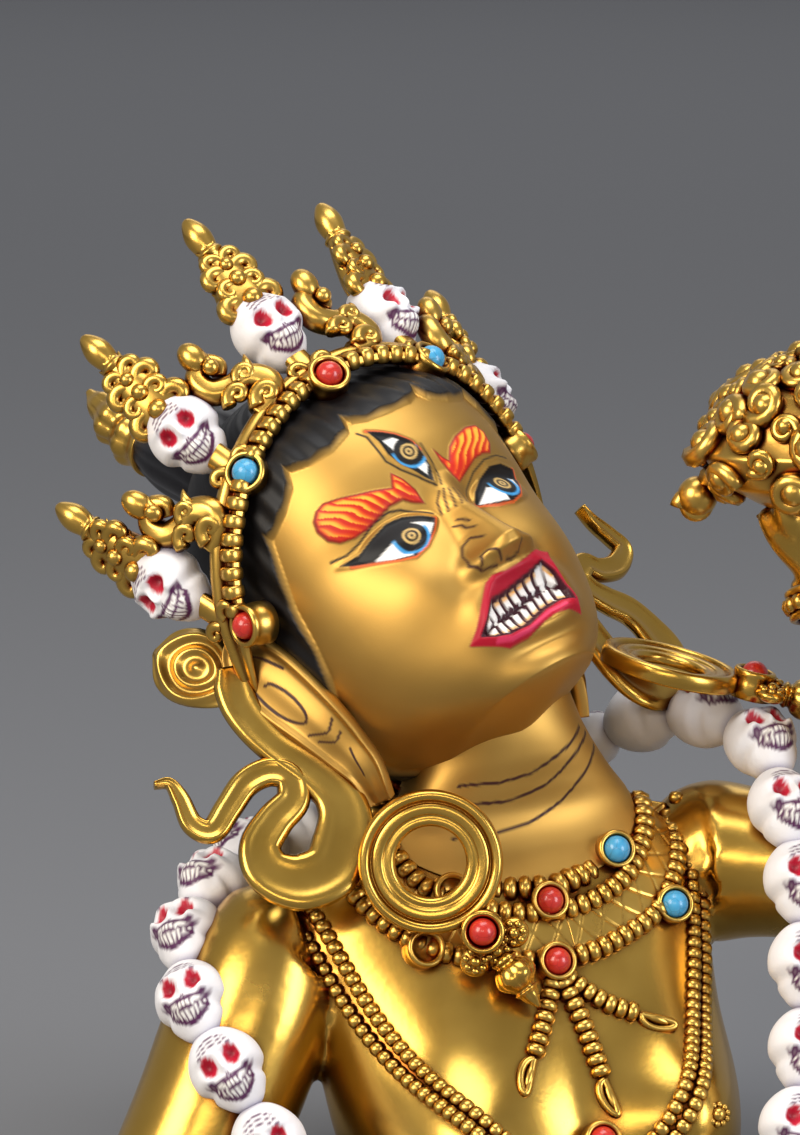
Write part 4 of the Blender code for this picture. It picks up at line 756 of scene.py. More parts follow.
for side, name, scale, back in EARS:
    table = curve_through(np.array(EAR) * scale - (0, back, 0, 0), EAR_STEPS)
    v = across_and_back(EAR_ACROSS, 14)
    front_face = np.arange(len(v)) < EAR_ACROSS
    rim = 0.55 + 0.45 * np.exp(-(((np.abs(v) - 0.82) / 0.14) ** 2)) + 0.15 * np.exp(-((v / 0.30) ** 2))
    high = np.where(front_face, rim * np.sqrt(np.clip(1 - v**8, 0, 1)), -0.5 * np.sqrt(np.clip(1 - v**4, 0, 1)))
    grid = (EAR_STEPS, len(v))
    profile = np.stack([table[:, 3:4] * FACE * v, np.broadcast_to(EAR_THICK * FACE * high, grid)], axis=-1)
    flare = unit(HEAD_AXES[0] * side + EAR_FLARE * HEAD_AXES[1])
    shape = woven(carried(on_head(table[:, :3] * (side, 1, 1)), flare, profile))
    share = np.append(np.broadcast_to(np.linspace(0, 1, EAR_STEPS)[:, None], grid).ravel(), (0, 1))
    wide = np.append(np.broadcast_to(np.where(front_face, v, 9), grid).ravel(), (9, 9))  # 9 keeps the back bare
    far = np.minimum.reduce([from_line(share, wide * 0.12, curve_through(line, 40) * (1, -0.12 * side), False)
                             for line in (EAR_SPIRAL,) + EAR_CREASES])
    coat = brush(bare_coat(len(share)), BROWN_LINE, (0.006 - far) / 0.004 + 0.5)
    mesh = mesh_of(f"ear_{name}", shape, paint=coat[0], cover=coat[1])
    piece(f"ear_{name}", mesh, "figure", COLD_GOLD)


# Necklaces: strands of cast beads soldered to the chest, with chased plates between the rows, and tassels.
# Gilt over all, rubbed bright on the beads, with tarnish left between them.

# Places across and up on the front of the torso
NECK_RING = ((3.5, 31.8), (10.2, 33.8), (14.6, 38), (16.0, 42.5), (14.5, 46.5), (9, 49), (2.5, 49.6), (-4, 49),
             (-9.3, 46.5), (-11, 42.5), (-10, 38), (-4.5, 33.4))
SECOND_ROW = ((-13, 40), (-10, 34), (-4, 30.5), (4, 29.2), (11.2, 31.2), (16, 36), (18, 41))
THIRD_ROW = ((-18.5, 39), (-16.5, 33), (-12, 28), (-5, 25), (4, 24), (10.5, 25.5), (15.8, 28.2), (20, 34), (21.5, 40))
LONG_STRAND = ((23.5, 41), (22.8, 35), (21.2, 28), (18.8, 20), (15.2, 12), (10.5, 5), (4, -1.5))
TASSELS = (((1.2, 23), (-1, 18.5), (-3.8, 13.5)), ((1.2, 23), (2.6, 17), (3.4, 10)),
           ((1.2, 23), (5.5, 18.6), (9.5, 16.4)))
BEAD = unit_ball(8, 6)
BEAD = (np.sign(BEAD[0]) * np.abs(BEAD[0]) ** 0.8, BEAD[1])  # cast beads are a little square


def on_chest(across_up, lift):
    """Places across and up, laid on the front of the chest and lifted off it."""
    flat = np.asarray(across_up, float)
    return on_torso(np.column_stack([flat[:, 0], chest_front(flat[:, 0], flat[:, 1]) + lift, flat[:, 1]]))


def beads_along(path, pitch, across, out, along, facing):
    """Beads threaded on a path at an even pitch, each stretched across, out and along it."""
    run = length_along(path)
    at = np.arange(0.5 * pitch, run[-1], pitch)
    places = np.column_stack([np.interp(at, run, column) for column in path.T])
    ahead = np.column_stack([np.interp(at, run, column) for column in unit(np.gradient(path, axis=0)).T])
    front = unit(facing - (ahead @ facing)[:, None] * ahead)
    axes = np.stack([np.cross(ahead, front), front, ahead], axis=1)
    return copies(BEAD, places, axes, np.broadcast_to((across, out, along), (len(at), 3)))


loop = curve_through(NECK_RING + NECK_RING[:1], 200)
turn = np.arctan2(loop[:, 0] - 3.0, 41.0 - loop[:, 1])
lean = 0.5 + 0.5 * np.cos(turn)
forward = (chest_front(loop[:, 0], loop[:, 1]) + 0.3) * lean - 4.0 * (1 - lean)
loop = on_torso(np.column_stack([loop[:, 0], forward, loop[:, 1]]))
strings = [beads_along(loop, 1.55, 1.55, 1.55, 0.86, TORSO_AXES[1])]
strings.append(beads_along(on_chest(curve_through(SECOND_ROW, 120), 0.5), 1.5, 1.25, 1.0, 0.80, TORSO_AXES[1]))
strings.append(beads_along(on_chest(curve_through(THIRD_ROW, 150), 0.4), 1.5, 1.2, 1.0, 0.80, TORSO_AXES[1]))
for side in (-1, 1):
    line = curve_through(np.array(LONG_STRAND) * (side, 1), 120)
    ahead = unit(np.gradient(line, axis=0))
    for shift in (-0.85, 0.85):
        beside = line + shift * np.column_stack([-ahead[:, 1], ahead[:, 0]])
        strings.append(beads_along(on_chest(beside, 0.25), 1.35, 0.92, 0.80, 0.76, TORSO_AXES[1]))
for tassel in TASSELS:
    line = curve_through(tassel, 60)
    strings.append(beads_along(on_chest(line, 0.35), 1.3, 1.15, 0.90, 0.70, TORSO_AXES[1]))
    end, before = on_chest(line[[-1, -6]], 0.35)
    down = unit(end - before)
    wide = unit(np.cross(down, TORSO_AXES[1]))
    swing = np.linspace(0, 2 * np.pi, 44)[:, None]
    eyelet = end + 2.0 * (1 - np.cos(swing)) * down + 1.15 * np.sin(swing) * np.cos(swing / 4) ** 2 * wide
    strings.append(rod(eyelet, TORSO_AXES[1], 0.42, 12))
    axes = np.array([wide, TORSO_AXES[1], down])
    strings.append(copies(unit_ball(12, 8), end + 1.9 * down, axes, np.array([(0.5, 0.5, 1.5)])))
piece("bead_strands", mesh_of("bead_strands", joined(strings)), "figure", CHASED)


def plate(inner, outer):
    """A chased plate between two rows: a strip lofted from one row to the other, crossed by two sets of cut lines."""
    s, t = np.meshgrid(np.linspace(0, 1, 150), np.linspace(0, 1, 28), indexing="ij")
    low, high = curve_through(inner, 150), curve_through(outer, 150)
    flat = low[:, None] + (high - low)[:, None] * t[..., None]
    cut = np.minimum(np.abs(np.sin(np.pi * (8 * s + 1.1 * t))), np.abs(np.sin(np.pi * (8 * s - 1.1 * t))))
    lift = 0.60 - 0.14 * np.exp(-((cut / 0.11) ** 2)) - 0.5 * (2 * t - 1) ** 8
    front = chest_front(flat[..., 0].ravel(), flat[..., 1].ravel()).reshape(s.shape)
    top = np.stack([flat[..., 0], front + lift, flat[..., 1]], axis=-1)
    under = np.stack([flat[..., 0], front - 0.8, flat[..., 1]], axis=-1)
    return woven(on_torso(np.concatenate([top, under[:, ::-1]], axis=1)))


plates = [plate(SECOND_ROW[:4], THIRD_ROW[1:5]), plate(SECOND_ROW[3:], THIRD_ROW[4:])]
piece("necklace_plates", mesh_of("necklace_plates", joined(plates)), "figure", CHASED)

WRIST, WRIST_RADIUS = np.array([38.6, 21.2, 57.0]), 4.6
turn = circle(90)
loop = on_torso(WRIST) + WRIST_RADIUS * (turn[:, :1] * TORSO_AXES[0] + turn[:, 1:] * TORSO_AXES[1])
cuffs = [beads_along(np.vstack([loop, loop[:1]]), 1.5, 1.1, 1.0, 0.8, TORSO_AXES[2])]
for shift in (-1.3, 1.3):
    band_path = loop + shift * TORSO_AXES[2]
    cuffs.append(woven(carried(np.vstack([band_path, band_path[:1]]), TORSO_AXES[2], 0.5 * circle(10)[None])))
for side in (-1, 1):
    tip = on_torso((side * BREAST_ACROSS, chest_front(BREAST_ACROSS, BREAST_HEIGHT)[0], BREAST_HEIGHT))
    petals = circle(10)
    spots = tip + 1.05 * (petals[:, :1] * TORSO_AXES[0] + petals[:, 1:] * TORSO_AXES[2]) - 0.05 * TORSO_AXES[1]
    cuffs.append(copies(BEAD, spots, TORSO_AXES, 0.38))
    cuffs.append(copies(unit_ball(20, 12), tip, TORSO_AXES, np.array([(0.8, 0.75, 0.8)])))
piece("bracelet_and_bosses", mesh_of("bracelet_and_bosses", joined(cuffs)), "figure", CHASED)


# Stones: small polished cabochons of coral and turquoise, pushed into round gold collets and held by their rims.
# The collets stand on the crown, the chest and the earrings; two on the chest have lost their stones.

STONE, STONE_PROUD = 3.0, 1.0  # width of a stone, and how far its dome stands out of the rim
NECK_STONES = {"neck_coral_upper": (2.4, 30.4), "neck_coral_lower": (1.3, 23.6), "neck_turquoise_upper": (11.9, 35.0),
               "neck_turquoise_lower": (17.2, 28.0), "pendant_coral": (1.6, 3.6)}
EMPTY_SOCKETS = ((-7.9, 33.2), (-12.3, 27.6))
NECK_RIM = 1.9


def cabochon(name, base, mottled, vein, roughness):
    """A polished stone: its body colour clouded by a soft noise 0.7 mm across, with a few fine dark veins."""
    material = bpy.data.materials.new(name)
    material.use_nodes = True
    place = add(material, "ShaderNodeTexCoord", {}).outputs["Object"]
    cloud = noise(material, place, 1400.0, 4.0)
    crack =add(material, "ShaderNodeTexVoronoi", {"Vector": place, "Scale": 900.0}, feature="DISTANCE_TO_EDGE")
    line = add(material, "ShaderNodeMapRange", {"Value": crack.outputs["Distance"], "From Max": 0.05, "To Min": 0.5,
               "To Max": 0.0})
    body = mixed(material, cloud, linear(base), linear(mottled))
    colour = mixed(material, line.outputs["Result"], body, linear(vein))
    wire(material, material.node_tree.nodes["Principled BSDF"],
         {"Base Color": colour, "Roughness": roughness, "Coat Weight": 0.4, "Coat Roughness": 0.1})
    return material


CORAL = cabochon("Polished red coral", "B81D17", "D6392A", "8C120E", 0.28)
TURQUOISE = cabochon("Polished blue turquoise", "2C8FC4", "5AB4DC", "245C7C", 0.32)
# The collet's outline: out from its axis and along it from its rim, in millimetres
COLLET = ((0.02, -0.9), (1.62, -0.9), (1.66, -0.25), (1.78, 0.02), (2.02, 0.12), (2.26, 0.05), (2.38, -0.2),
          (2.34, -0.6), (2.25, -1.0), (2.36, -1.4), (2.40, -2.0), (2.40, -3.2), (0.02, -3.2))


def axes_facing(axis):
    """Rows across, up and out, for a round thing whose axis points out."""
    side = unit(np.cross(HEAD_AXES[2], axis))
    return np.array([side, np.cross(axis, side), axis])


def turned(profile, middle, axes, around=48):
    """A turned form: each (radius, height) of the profile swung round the axis."""
    table = np.asarray(profile, float)
    ring = circle(around)
    rings = np.concatenate([table[:, None, :1] * ring, np.broadcast_to(table[:, None, 1:], (len(table), around, 1))],
                           axis=-1)
    return woven(middle + rings @ axes)


def set_stone(name, rim, axis):
    """A domed stone seated in a rim: a round ball, its dome standing out of the rim."""
    middle = rim - (STONE / 2 - STONE_PROUD) * axis
    shape = copies(unit_ball(40, 24), middle, axes_facing(axis), STONE / 2)
    blue = "turquoise" in name or name in ("crown_stone_2", "crown_stone_4")
    stone, slot = (TURQUOISE, "turquoise") if blue else (CORAL, "coral")
    piece(f"{name}_set", mesh_of(name, shape), name, stone)


def neck_seat(across_up):
    """The rim and axis of a collet on the chest."""
    across, up = across_up
    return on_torso((across, chest_front(across, up)[0], up)) + NECK_RIM * TORSO_AXES[1], TORSO_AXES[1]


collets = []
NECK_COLLET = np.array(COLLET) * (0.90, 1)  # a tenth slimmer than the crown's
for place in (*NECK_STONES.values(), *EMPTY_SOCKETS):
    rim, axis = neck_seat(place)
    collets.append(turned(NECK_COLLET, rim, axes_facing(axis)))
for name, place in NECK_STONES.items():
    set_stone(name, *neck_seat(place))
piece("neck_collets", mesh_of("neck_collets", joined(collets)), "figure", CHASED)


# Skulls: cast hollow, the shared form of the crown's leaves and the garland.  White mineral paint over copper,
# crimson eyes, and purple lines for the wrinkled brow and the grin with its two rows of teeth.  Painted shade greys
# the white towards violet in the hollows.

SKULL_WIDE, GARLAND_PITCH = 8.0, 9.4
SKULL_TALL = 1.08 * GARLAND_PITCH / SKULL_WIDE
BONE, EYE_RED, EYE_DARK, PURPLE, PAINTED_SHADE_TINT = "ECEAEC", "C40C30", "7E0A24", "4E1048", "8D86A6"


def skull_shape(around, up):
    """A skull on a unit ball: jaw drawn in below, sockets and nose hollowed, cheeks, brow and muzzle raised."""
    points, faces = unit_ball(around, up)
    flat, z = np.hypot(points[:, 0], points[:, 1]), points[:, 2]
    turn = np.arctan2(points[:, 0], points[:, 1])
    turn = np.pi * np.sign(turn) * (np.abs(turn) / np.pi) ** 1.4  # closer meridians on the face
    x, y = flat * np.sin(turn), flat * np.cos(turn)
    jaw = np.clip((-z - 0.1) / 0.6, 0, 1)
    front = np.clip(3 * y, 0, 1)
    side = np.abs(x)
    relief = 0.16 * bump(side, z, 0.36, 0.40, 0.34, 0.08) + 0.20 * bump(side, z, 0.60, -0.10, 0.18, 0.12)
    relief = relief + 0.22 * bump(x, z, 0, -0.46, 0.50, 0.24) - 0.30 * bump(side, z, 0.34, 0.14, 0.19, 0.17)
    relief = relief - 0.10 * bump(x, z, 0, 0.70, 0.6, 0.14)
    relief = relief + 0.12 * bump(x, z, 0, 0.0, 0.09, 0.20) - 0.10 * bump(x, z, 0, -0.17, 0.09, 0.06)
    relief = relief - 0.10 * bump(side, z, 0.62, -0.52, 0.16, 0.16)
    tooth = np.abs(np.sin(np.pi * x / 0.13)) * (np.abs(z + 0.50 - 0.42 * x**2) < 0.16) * (side < 0.6)
    relief = relief + 0.03 * tooth
    wide = x * (1 - 0.16 * jaw) * (1 + 0.05 * bump(z, 0, 0.3, 0, 0.4, 1)) * (1 - 0.14 * bump(z, 0, -0.34, 0, 0.12, 1))
    deep = y * (0.92 - 0.1 * jaw) + relief * front
    return (np.stack([wide, deep, SKULL_TALL * z], axis=-1), faces), (x, y, z)


def skull_paint(x, y, z):
    """The painted skull: discs for eyes, arcs over the brow, and a grin between two curves with a lattice of teeth."""
    front = np.clip(y * 6, 0, 1)
    coat = bare_coat(len(x))
    coat = brush(coat, BONE, np.ones(len(x)))
    side = np.abs(x)
    for low in (0.44, 0.55, 0.66):
        arc = np.abs(z - low - 0.07 * np.cos(side * 5))
        ends = (0.50 - 0.4 * (low - 0.44) - side) / 0.04  # each higher arc is shorter
        coat = brush(coat, PURPLE, np.minimum((0.020 - arc) / 0.02 + 0.5, ends) * front)
    eye = np.hypot(side - 0.34, (z - 0.13) * 0.95)
    coat = brush(coat, EYE_RED, ((0.215 - eye) / 0.025 + 0.5) * front)
    coat = brush(coat, EYE_DARK, ((0.07 - np.hypot(side - 0.33, z - 0.17)) / 0.08 + 0.4) * 0.6 * front)
    nose = np.abs(z + 0.19 + 0.9 * side) + 0.6 * np.abs(side - 0.05)
    coat = brush(coat, PURPLE, ((0.045 - nose) / 0.03 + 0.5) * front)
    middle = -0.53 + 0.50 * x**2
    half = 0.20 * np.sqrt(np.clip(1 - (x / 0.70) ** 2, 0, 1))
    off = np.abs(z - middle) - half
    coat = brush(coat, PURPLE, np.minimum((0.065 - off) / 0.03 + 0.5, (0.78 - side) / 0.04) * front)
    grid = np.minimum(np.abs((x / 0.15) % 1 - 0.5) * 0.15, np.abs(z - middle) * 0.9)
    coat = brush(coat, WHITE, np.minimum((grid - 0.022) / 0.02 + 0.5, (-off - 0.022) / 0.02) * front)
    return coat


MINERAL = bpy.data.materials.new("White mineral paint on cast copper")
MINERAL.use_nodes = True
coord = add(MINERAL, "ShaderNodeTexCoord", {}).outputs["Object"]
clot = noise(MINERAL, coord, 1500.0, 4.0)
paint = add(MINERAL, "ShaderNodeAttribute", {}, attribute_name="paint").outputs["Color"]
# Painted shade: where the AO node finds the surface hemmed in, the bone colour is multiplied up to three quarters of
# the way towards a grey violet, in the sockets, the grin and between the skulls.
dusk = add(MINERAL, "ShaderNodeAmbientOcclusion", {"Distance": 1.6 * MM}, samples=8).outputs["AO"]
painted_shade = add(MINERAL, "ShaderNodeMapRange", {"Value": dusk, "From Min": 0.3, "From Max": 0.9, "To Min": 0.75,
            "To Max": 0.0})
shaded = mixed(MINERAL, painted_shade.outputs["Result"], paint, linear(PAINTED_SHADE_TINT), blend_type="MULTIPLY")
thick = add(MINERAL, "ShaderNodeBump", {"Height": clot, "Strength": 0.35, "Distance": 0.12 * MM})
wire(MINERAL, MINERAL.node_tree.nodes["Principled BSDF"],
     {"Base Color": shaded, "Roughness": 0.5, "Normal": thick.outputs["Normal"]})

# Places on the torso along the garland, then the way each stretch faces
GARLAND = (
    (-31.6, 8.9, -14, -0.3, 1, 0.1), (-31.4, 8.6, -4, -0.35, 1, 0.1), (-31.8, 8.0, 6, -0.35, 1, 0.1),
    (-33.8, 7.5, 15, -0.4, 1, 0.1), (-36.6, 4.3, 25.6, -0.6, 1, 0.2), (-34.1, -1.8, 35.4, -0.7, 0.7, 0.6),
    (-28.0, -7.6, 41.2, -0.4, 0.3, 1), (-19.5, -14.5, 44.8, -0.3, -0.7, 0.8), (-9, -20.2, 46, -0.2, -1, 0.3),
    (3, -22.6, 47, 0, -1, 0.3), (14, -17.5, 49, 0.3, -1, 0.5), (22.5, -8.0, 51, 0.4, -0.4, 1),
    (27.4, 0.3, 50.0, 0.3, 0.6, 1), (31.3, 9.0, 44.5, 0.2, 1, 0.5), (30.6, 14.5, 35.5, 0.1, 1, 0.1),
    (29.9, 16.5, 28.3, 0, 1, 0), (28.3, 17.9, 21, 0, 1, 0), (25.5, 19.0, 9.7, 0, 1, 0), (21.5, 21.3, 0.6, 0, 1, 0),
    (17.8, 21.2, -8, 0, 1, 0), (14, 21, -16, 0, 1, 0),
)
GARLAND_NAPE = 0.47  # share of the chain at which it passes the nape and the skulls turn over
GARLAND_STEPS, NEAR = 400, 6  # places read along the chain, and how many to each side give a skull its direction
fine = curve_through(GARLAND, GARLAND_STEPS)
run = length_along(fine[:, :3])
at = np.arange(0.5 * GARLAND_PITCH, run[-1], GARLAND_PITCH)
k = np.clip(np.searchsorted(run, at), NEAR, GARLAND_STEPS - 1 - NEAR)
along = unit((fine[k + NEAR, :3] - fine[k - NEAR, :3]) @ TORSO_AXES)
up = np.where((k < GARLAND_NAPE * GARLAND_STEPS)[:, None], along, -along)
front = fine[k, 3:] @ TORSO_AXES
front = unit(front - np.sum(front * up, axis=1, keepdims=True) * up)
axes = np.stack([np.cross(front, up), front, up], axis=1)
shape, ball_places = skull_shape(64, 46)
coat = skull_paint(*ball_places)
shape = copies(shape, on_torso(fine[k, :3]), axes, SKULL_WIDE / 2)
piece("garland", mesh_of("garland", shape, paint=np.tile(coat[0], (len(k), 1)), cover=np.tile(coat[1], len(k))),
      "skull_garland", MINERAL)


# Crown: a cast band with a smooth outer roll and a row of square beads, five leaves with a skull and a finial
# of curling foliage each, and volutes between them.  Gilt, chased, with tarnish in the curls.

# Across, forward, forward again with the cosine of the way round, up, and up again with it, in face units
CROWN_TURN, LEAF_STEP = -6.2, 37.5
BAND_RING = (0.541, -0.008, 0.329, 0.032, 0.587)
SKULL_RING = (0.634, -0.124, 0.394, 0.268, 0.571)
TIP_RING = (0.769, -0.208, 0.461, 0.654, 0.626)
BAND_END, BAND_BULGE = 2.55 * LEAF_STEP, 0.022
BAND_ROLL = 1.25
BEAD_STEP = np.array([0, 0.70, -0.55])  # the way from the band to the face
LEAVES = [LEAF_STEP * k for k in range(-2, 3)]
STONE_AHEAD = (1.6, 0, 1.3, 0, 0)  # how much nearer to the face than the band's line each stone is set
SIDE_DROP = np.array([0.60, -0.25, 0.155])


def crown_ring(numbers, degrees):
    """A place on one of the crown's rings: across by the sine, forward and up by the cosine of the way round."""
    across, forward, forward_cos, up, up_cos = numbers
    turn = np.radians(np.asarray(degrees, float) + CROWN_TURN)
    return np.stack([across * np.sin(turn), forward + forward_cos * np.cos(turn), up + up_cos * np.cos(turn)], axis=-1)


def outward_at(degrees):
    """The way out of the crown."""
    turn = np.radians(np.asarray(degrees, float) + CROWN_TURN)
    return unit(np.stack([np.sin(turn), np.cos(turn), 0 * turn + 0.15], axis=-1)) @ HEAD_AXES


def on_band(degrees):
    """The middle of the band's roll."""
    degrees = np.asarray(degrees, float)
    bulge = BAND_BULGE * FACE * np.sin(np.radians(2 * degrees)) ** 2
    return on_head(crown_ring(BAND_RING, degrees)) + bulge[..., None] * outward_at(degrees)


def crown_seat(degrees):
    """The rim and axis of a leaf's collet on the band; two of them sit nearer to the face."""
    axis = outward_at(degrees)
    ahead = STONE_AHEAD[LEAVES.index(degrees)]
    return on_band(degrees) + (BAND_ROLL + 1.0) * axis + ahead * unit(BEAD_STEP @ HEAD_AXES), axis


BAND_OUT, BAND_BACK = 1.5, 1.9  # the roll stands this far out of the seats' line and back from the face
turn = np.linspace(-BAND_END, BAND_END, 260)
inner = unit(BEAD_STEP @ HEAD_AXES)
path = on_band(turn) + BAND_OUT * outward_at(turn) - BAND_BACK * inner
ahead = unit(np.gradient(path, axis=0))
front = unit(inner - (ahead @ inner)[:, None] * ahead)
outer = np.cross(front, ahead)
outer = outer * np.sign(np.sum(outer * outward_at(turn), axis=1, keepdims=True))
# Outline of the band: along to the face and outwards
BAND_OUTLINE = ((-1.05, -0.9), (-1.22, 0.0), (-1.0, 0.75), (-0.45, 1.2), (0.25, 1.22), (0.78, 0.85), (0.95, 0.35),
                (1.1, 0.15), (1.35, 0.25), (1.6, 0.45), (2.6, 0.45), (2.75, 0.2), (2.75, -0.6), (1.6, -0.9), (0, -1.2))
outline = read_table(BAND_OUTLINE + BAND_OUTLINE[:1], np.linspace(0, len(BAND_OUTLINE), 48)[:-1])
slim = np.interp(np.abs(turn), (LEAVES[-1], BAND_END), (1, 0.4))[:, None, None]  # past the last stones it thins out
rings = path[:, None] + slim * (outline[:, :1] * front[:, None] + outline[:, 1:] * outer[:, None])
crown_parts = [woven(rings)]
bead_path = path + 2.0 * front + 0.1 * outer
run = length_along(bead_path)
index =np.searchsorted(run, np.arange(1.2, run[-1] - 0.8, 1.9))
index = index[np.abs(turn[index]) < LEAVES[-1]]
cube = unit_ball(12, 10)
cube = (np.sign(cube[0]) * np.abs(cube[0]) ** 0.55, cube[1])
axes = np.stack([front[index], outer[index], ahead[index]], axis=1)
crown_parts.append(copies(cube, bead_path[index], axes, np.broadcast_to((1.10, 1.10, 0.84), (len(index), 3))))
piece("crown_band", mesh_of("crown_band", joined(crown_parts)), "crown", CHASED)


def curl(turns=1.35, thick=0.30, count=30, around=10):
    """A curled tendril: a spiral whose reach falls from 1 to 0.2 as it turns, as a bar that thins to 40%."""
    share = np.linspace(0, 1, count)
    swing = np.pi - share * turns * 2 * np.pi
    reach = 1 - 0.80 * share**0.8
    out, up = 1 + reach * np.cos(swing), 0.4 + reach * np.sin(swing)
    path = np.stack([out, 0.12 * np.sin(np.pi * share), up - 0.4 * (1 - share)], axis=-1)
    return rod(path, np.array([0, 1, 0.001]), thick * (1 - 0.45 * share), around)


def flame_leaf(count=18, around=10):
    """A pointed lick of leaf: a bar that bends outwards, swells and closes to a point."""
    share = np.linspace(0, 1, count)
    path = np.stack([0.55 * share**1.6, 0.25 * np.sin(np.pi * share), 1.5 * share], axis=-1)
    size = 0.05 + 0.34 * np.sin(np.pi * share**0.8) ** 0.9 * (1 - 0.3 * share)
    return rod(path, np.array([0, 1.0, 0]), size, around)


CURL, TIGHT_CURL, LICK = curl(0.95, 0.58), curl(1.15, 0.52), flame_leaf()
# Curls of a finial: share of its length, side, reach outwards, size, which form; mirrored to the other side
FOLIAGE = ((0.00, 0.1, 0.4, 2.1, CURL), (0.18, 0.1, 1.0, 1.5, TIGHT_CURL), (0.32, 0.1, 0.5, 1.8, CURL),
           (0.47, 0.0, 0.7, 1.35, CURL), (0.02, 1.5, -0.2, 2.4, LICK),
           (0.28, 1.1, -0.2, 2.1, LICK), (0.48, 0.6, 0.0, 1.7, LICK), (0.60, 0.2, 0.5, 1.3, LICK))
KNOBS = ((0.05, 1.7, 1.2), (0.27, 1.6, 1.0), (0.43, 1.35, 0.85))
BUD_TIP = ((0.9, 0.50), (1.25, 0.58), (1.60, 0.62), (1.30, 0.66), (1.45, 0.72), (1.55, 0.79), (1.40, 0.86),
           (1.00, 0.93), (0.55, 0.98), (0.10, 1.0))
# Core of a finial: share of its length, half width, half depth
CORE = ((-0.10, 2.4, 1.6), (0.10, 3.2, 1.8), (0.30, 2.7, 1.7), (0.50, 2.0, 1.4), (0.68, 1.2, 1.0))
shape, ball_places = skull_shape(80, 58)
skull_coat = skull_paint(*ball_places)
leaves, skulls = [], []
for degrees in LEAVES:
    base = on_band(degrees)
    middle, tip = (on_head(crown_ring(ring, degrees)) for ring in (SKULL_RING, TIP_RING))
    up = unit(tip - middle)
    axis = outward_at(degrees)
    front = unit(axis - axis @ up * up)
    axes = np.array([np.cross(front, up), front, up])
    skulls.append(copies(shape, middle, axes, SKULL_WIDE / 2))
    start = middle + 0.42 * SKULL_WIDE * up
    tall = np.linalg.norm(tip - start)
    for share, side, out, size, form in FOLIAGE:
        for hand in (-1, 1):
            mirrored = axes * np.array([[hand], [1], [1]])
            leaves.append(copies(form, start + np.array([side, out, share * tall]) @ mirrored, mirrored, size))
    for share, out, size in KNOBS:
        leaves.append(copies(unit_ball(14, 10), start + np.array([0, out, share * tall]) @ axes, axes, size))
    bud = np.array(BUD_TIP) * (1, tall)
    leaves.append(turned(read_table(bud, np.linspace(0, len(bud) - 1, 40)), start, axes, 28))
    core = curve_through([(0, 0, share * tall, wide, deep) for share, wide, deep in CORE], 24)
    leaves.append(woven(carried(start + core[:, :3] @ axes, front, core[:, None, 3:] * circle(24))))
    root = base + BAND_OUT * axis - BAND_BACK * inner
    stem = curve_through([root, 0.5 * (root + middle), middle - 0.1 * SKULL_WIDE * up], 16)
    leaves.append(woven(carried(stem, front, (1.5, 1.0) * circle(28)[None])))
    for hand in (-1, 1):
        mirrored = axes * np.array([[hand], [1], [1]])
        leaves.append(copies(CURL, root + np.array([0.6, 0.6, 0.2]) @ mirrored, mirrored, 1.2))
    rim, axis = crown_seat(degrees)
    leaves.append(turned(COLLET, rim, axes_facing(axis)))
piece("crown_leaves", mesh_of("crown_leaves", joined(leaves)), "crown", CHASED)
piece("crown_skulls", mesh_of("crown_skulls", joined(skulls), paint=np.tile(skull_coat[0], (5, 1)),
                              cover=np.tile(skull_coat[1], 5)), "crown", MINERAL)
for number, degrees in enumerate(LEAVES, 1):
    set_stone(f"crown_stone_{number}", *crown_seat(degrees))

# A volute between two leaves: across and up from the band in face units, then radius in millimetres
VOLUTE = ((-0.03, 0.015, 1.3), (0.03, 0.025, 1.6), (0.06, 0.07, 1.7), (0.03, 0.12, 1.6), (-0.03, 0.13, 1.5),
          (-0.08, 0.16, 1.5), (-0.085, 0.215, 1.4), (-0.04, 0.24, 1.2), (-0.01, 0.21, 1.0), (-0.03, 0.18, 0.8))
# Its leaves and its two balls: place across, out and up, then size and form
VOLUTE_LEAVES = (((-0.6, 0.9, 0.8), 1.7, CURL), ((-2.8, 0.8, 3.0), 1.5, CURL), ((-1.6, 0.7, 6.8), 1.9, LICK),
                 ((1.5, 0.5, 4.0), 1.8, LICK), ((-0.4, 1.0, 4.4), 1.3, TIGHT_CURL))
VOLUTE_BALLS = (((-2.0, 0.8, 10.0), (1.5, 1.4, 2.0)), ((-1.4, 1.5, 7.6), (0.95, 0.95, 0.95)))
volutes = []
for degrees in LEAVES[:-1]:
    degrees += LEAF_STEP / 2
    base, above, axis = on_band(degrees), on_head(crown_ring(TIP_RING, degrees)), outward_at(degrees)
    base = base + BAND_OUT * axis - BAND_BACK * inner
    up = unit(above - base)
    side = unit(np.cross(up, axis))
    flat = curve_through([(a * FACE, 0, b * FACE, r) for a, b, r in VOLUTE], 90)
    path = base + flat[:, :1] * side + flat[:, 2:3] * up
    groove = 1 - 0.10 * np.exp(-((circle(24)[:, 0] / 0.25) ** 2))
    volutes.append(woven(carried(path, axis, flat[:, 3, None, None] * groove[:, None] * circle(24))))
    axes = np.array([side, axis, up])
    for place, size, form in VOLUTE_LEAVES:
        volutes.append(copies(form, base + np.array(place) @ axes, axes, size))
    for place, sizes in VOLUTE_BALLS:
        volutes.append(copies(unit_ball(16, 12), base + np.array(place) @ axes, axes, np.array([sizes])))
piece("crown_volutes", mesh_of("crown_volutes", joined(volutes)), "crown", CHASED)

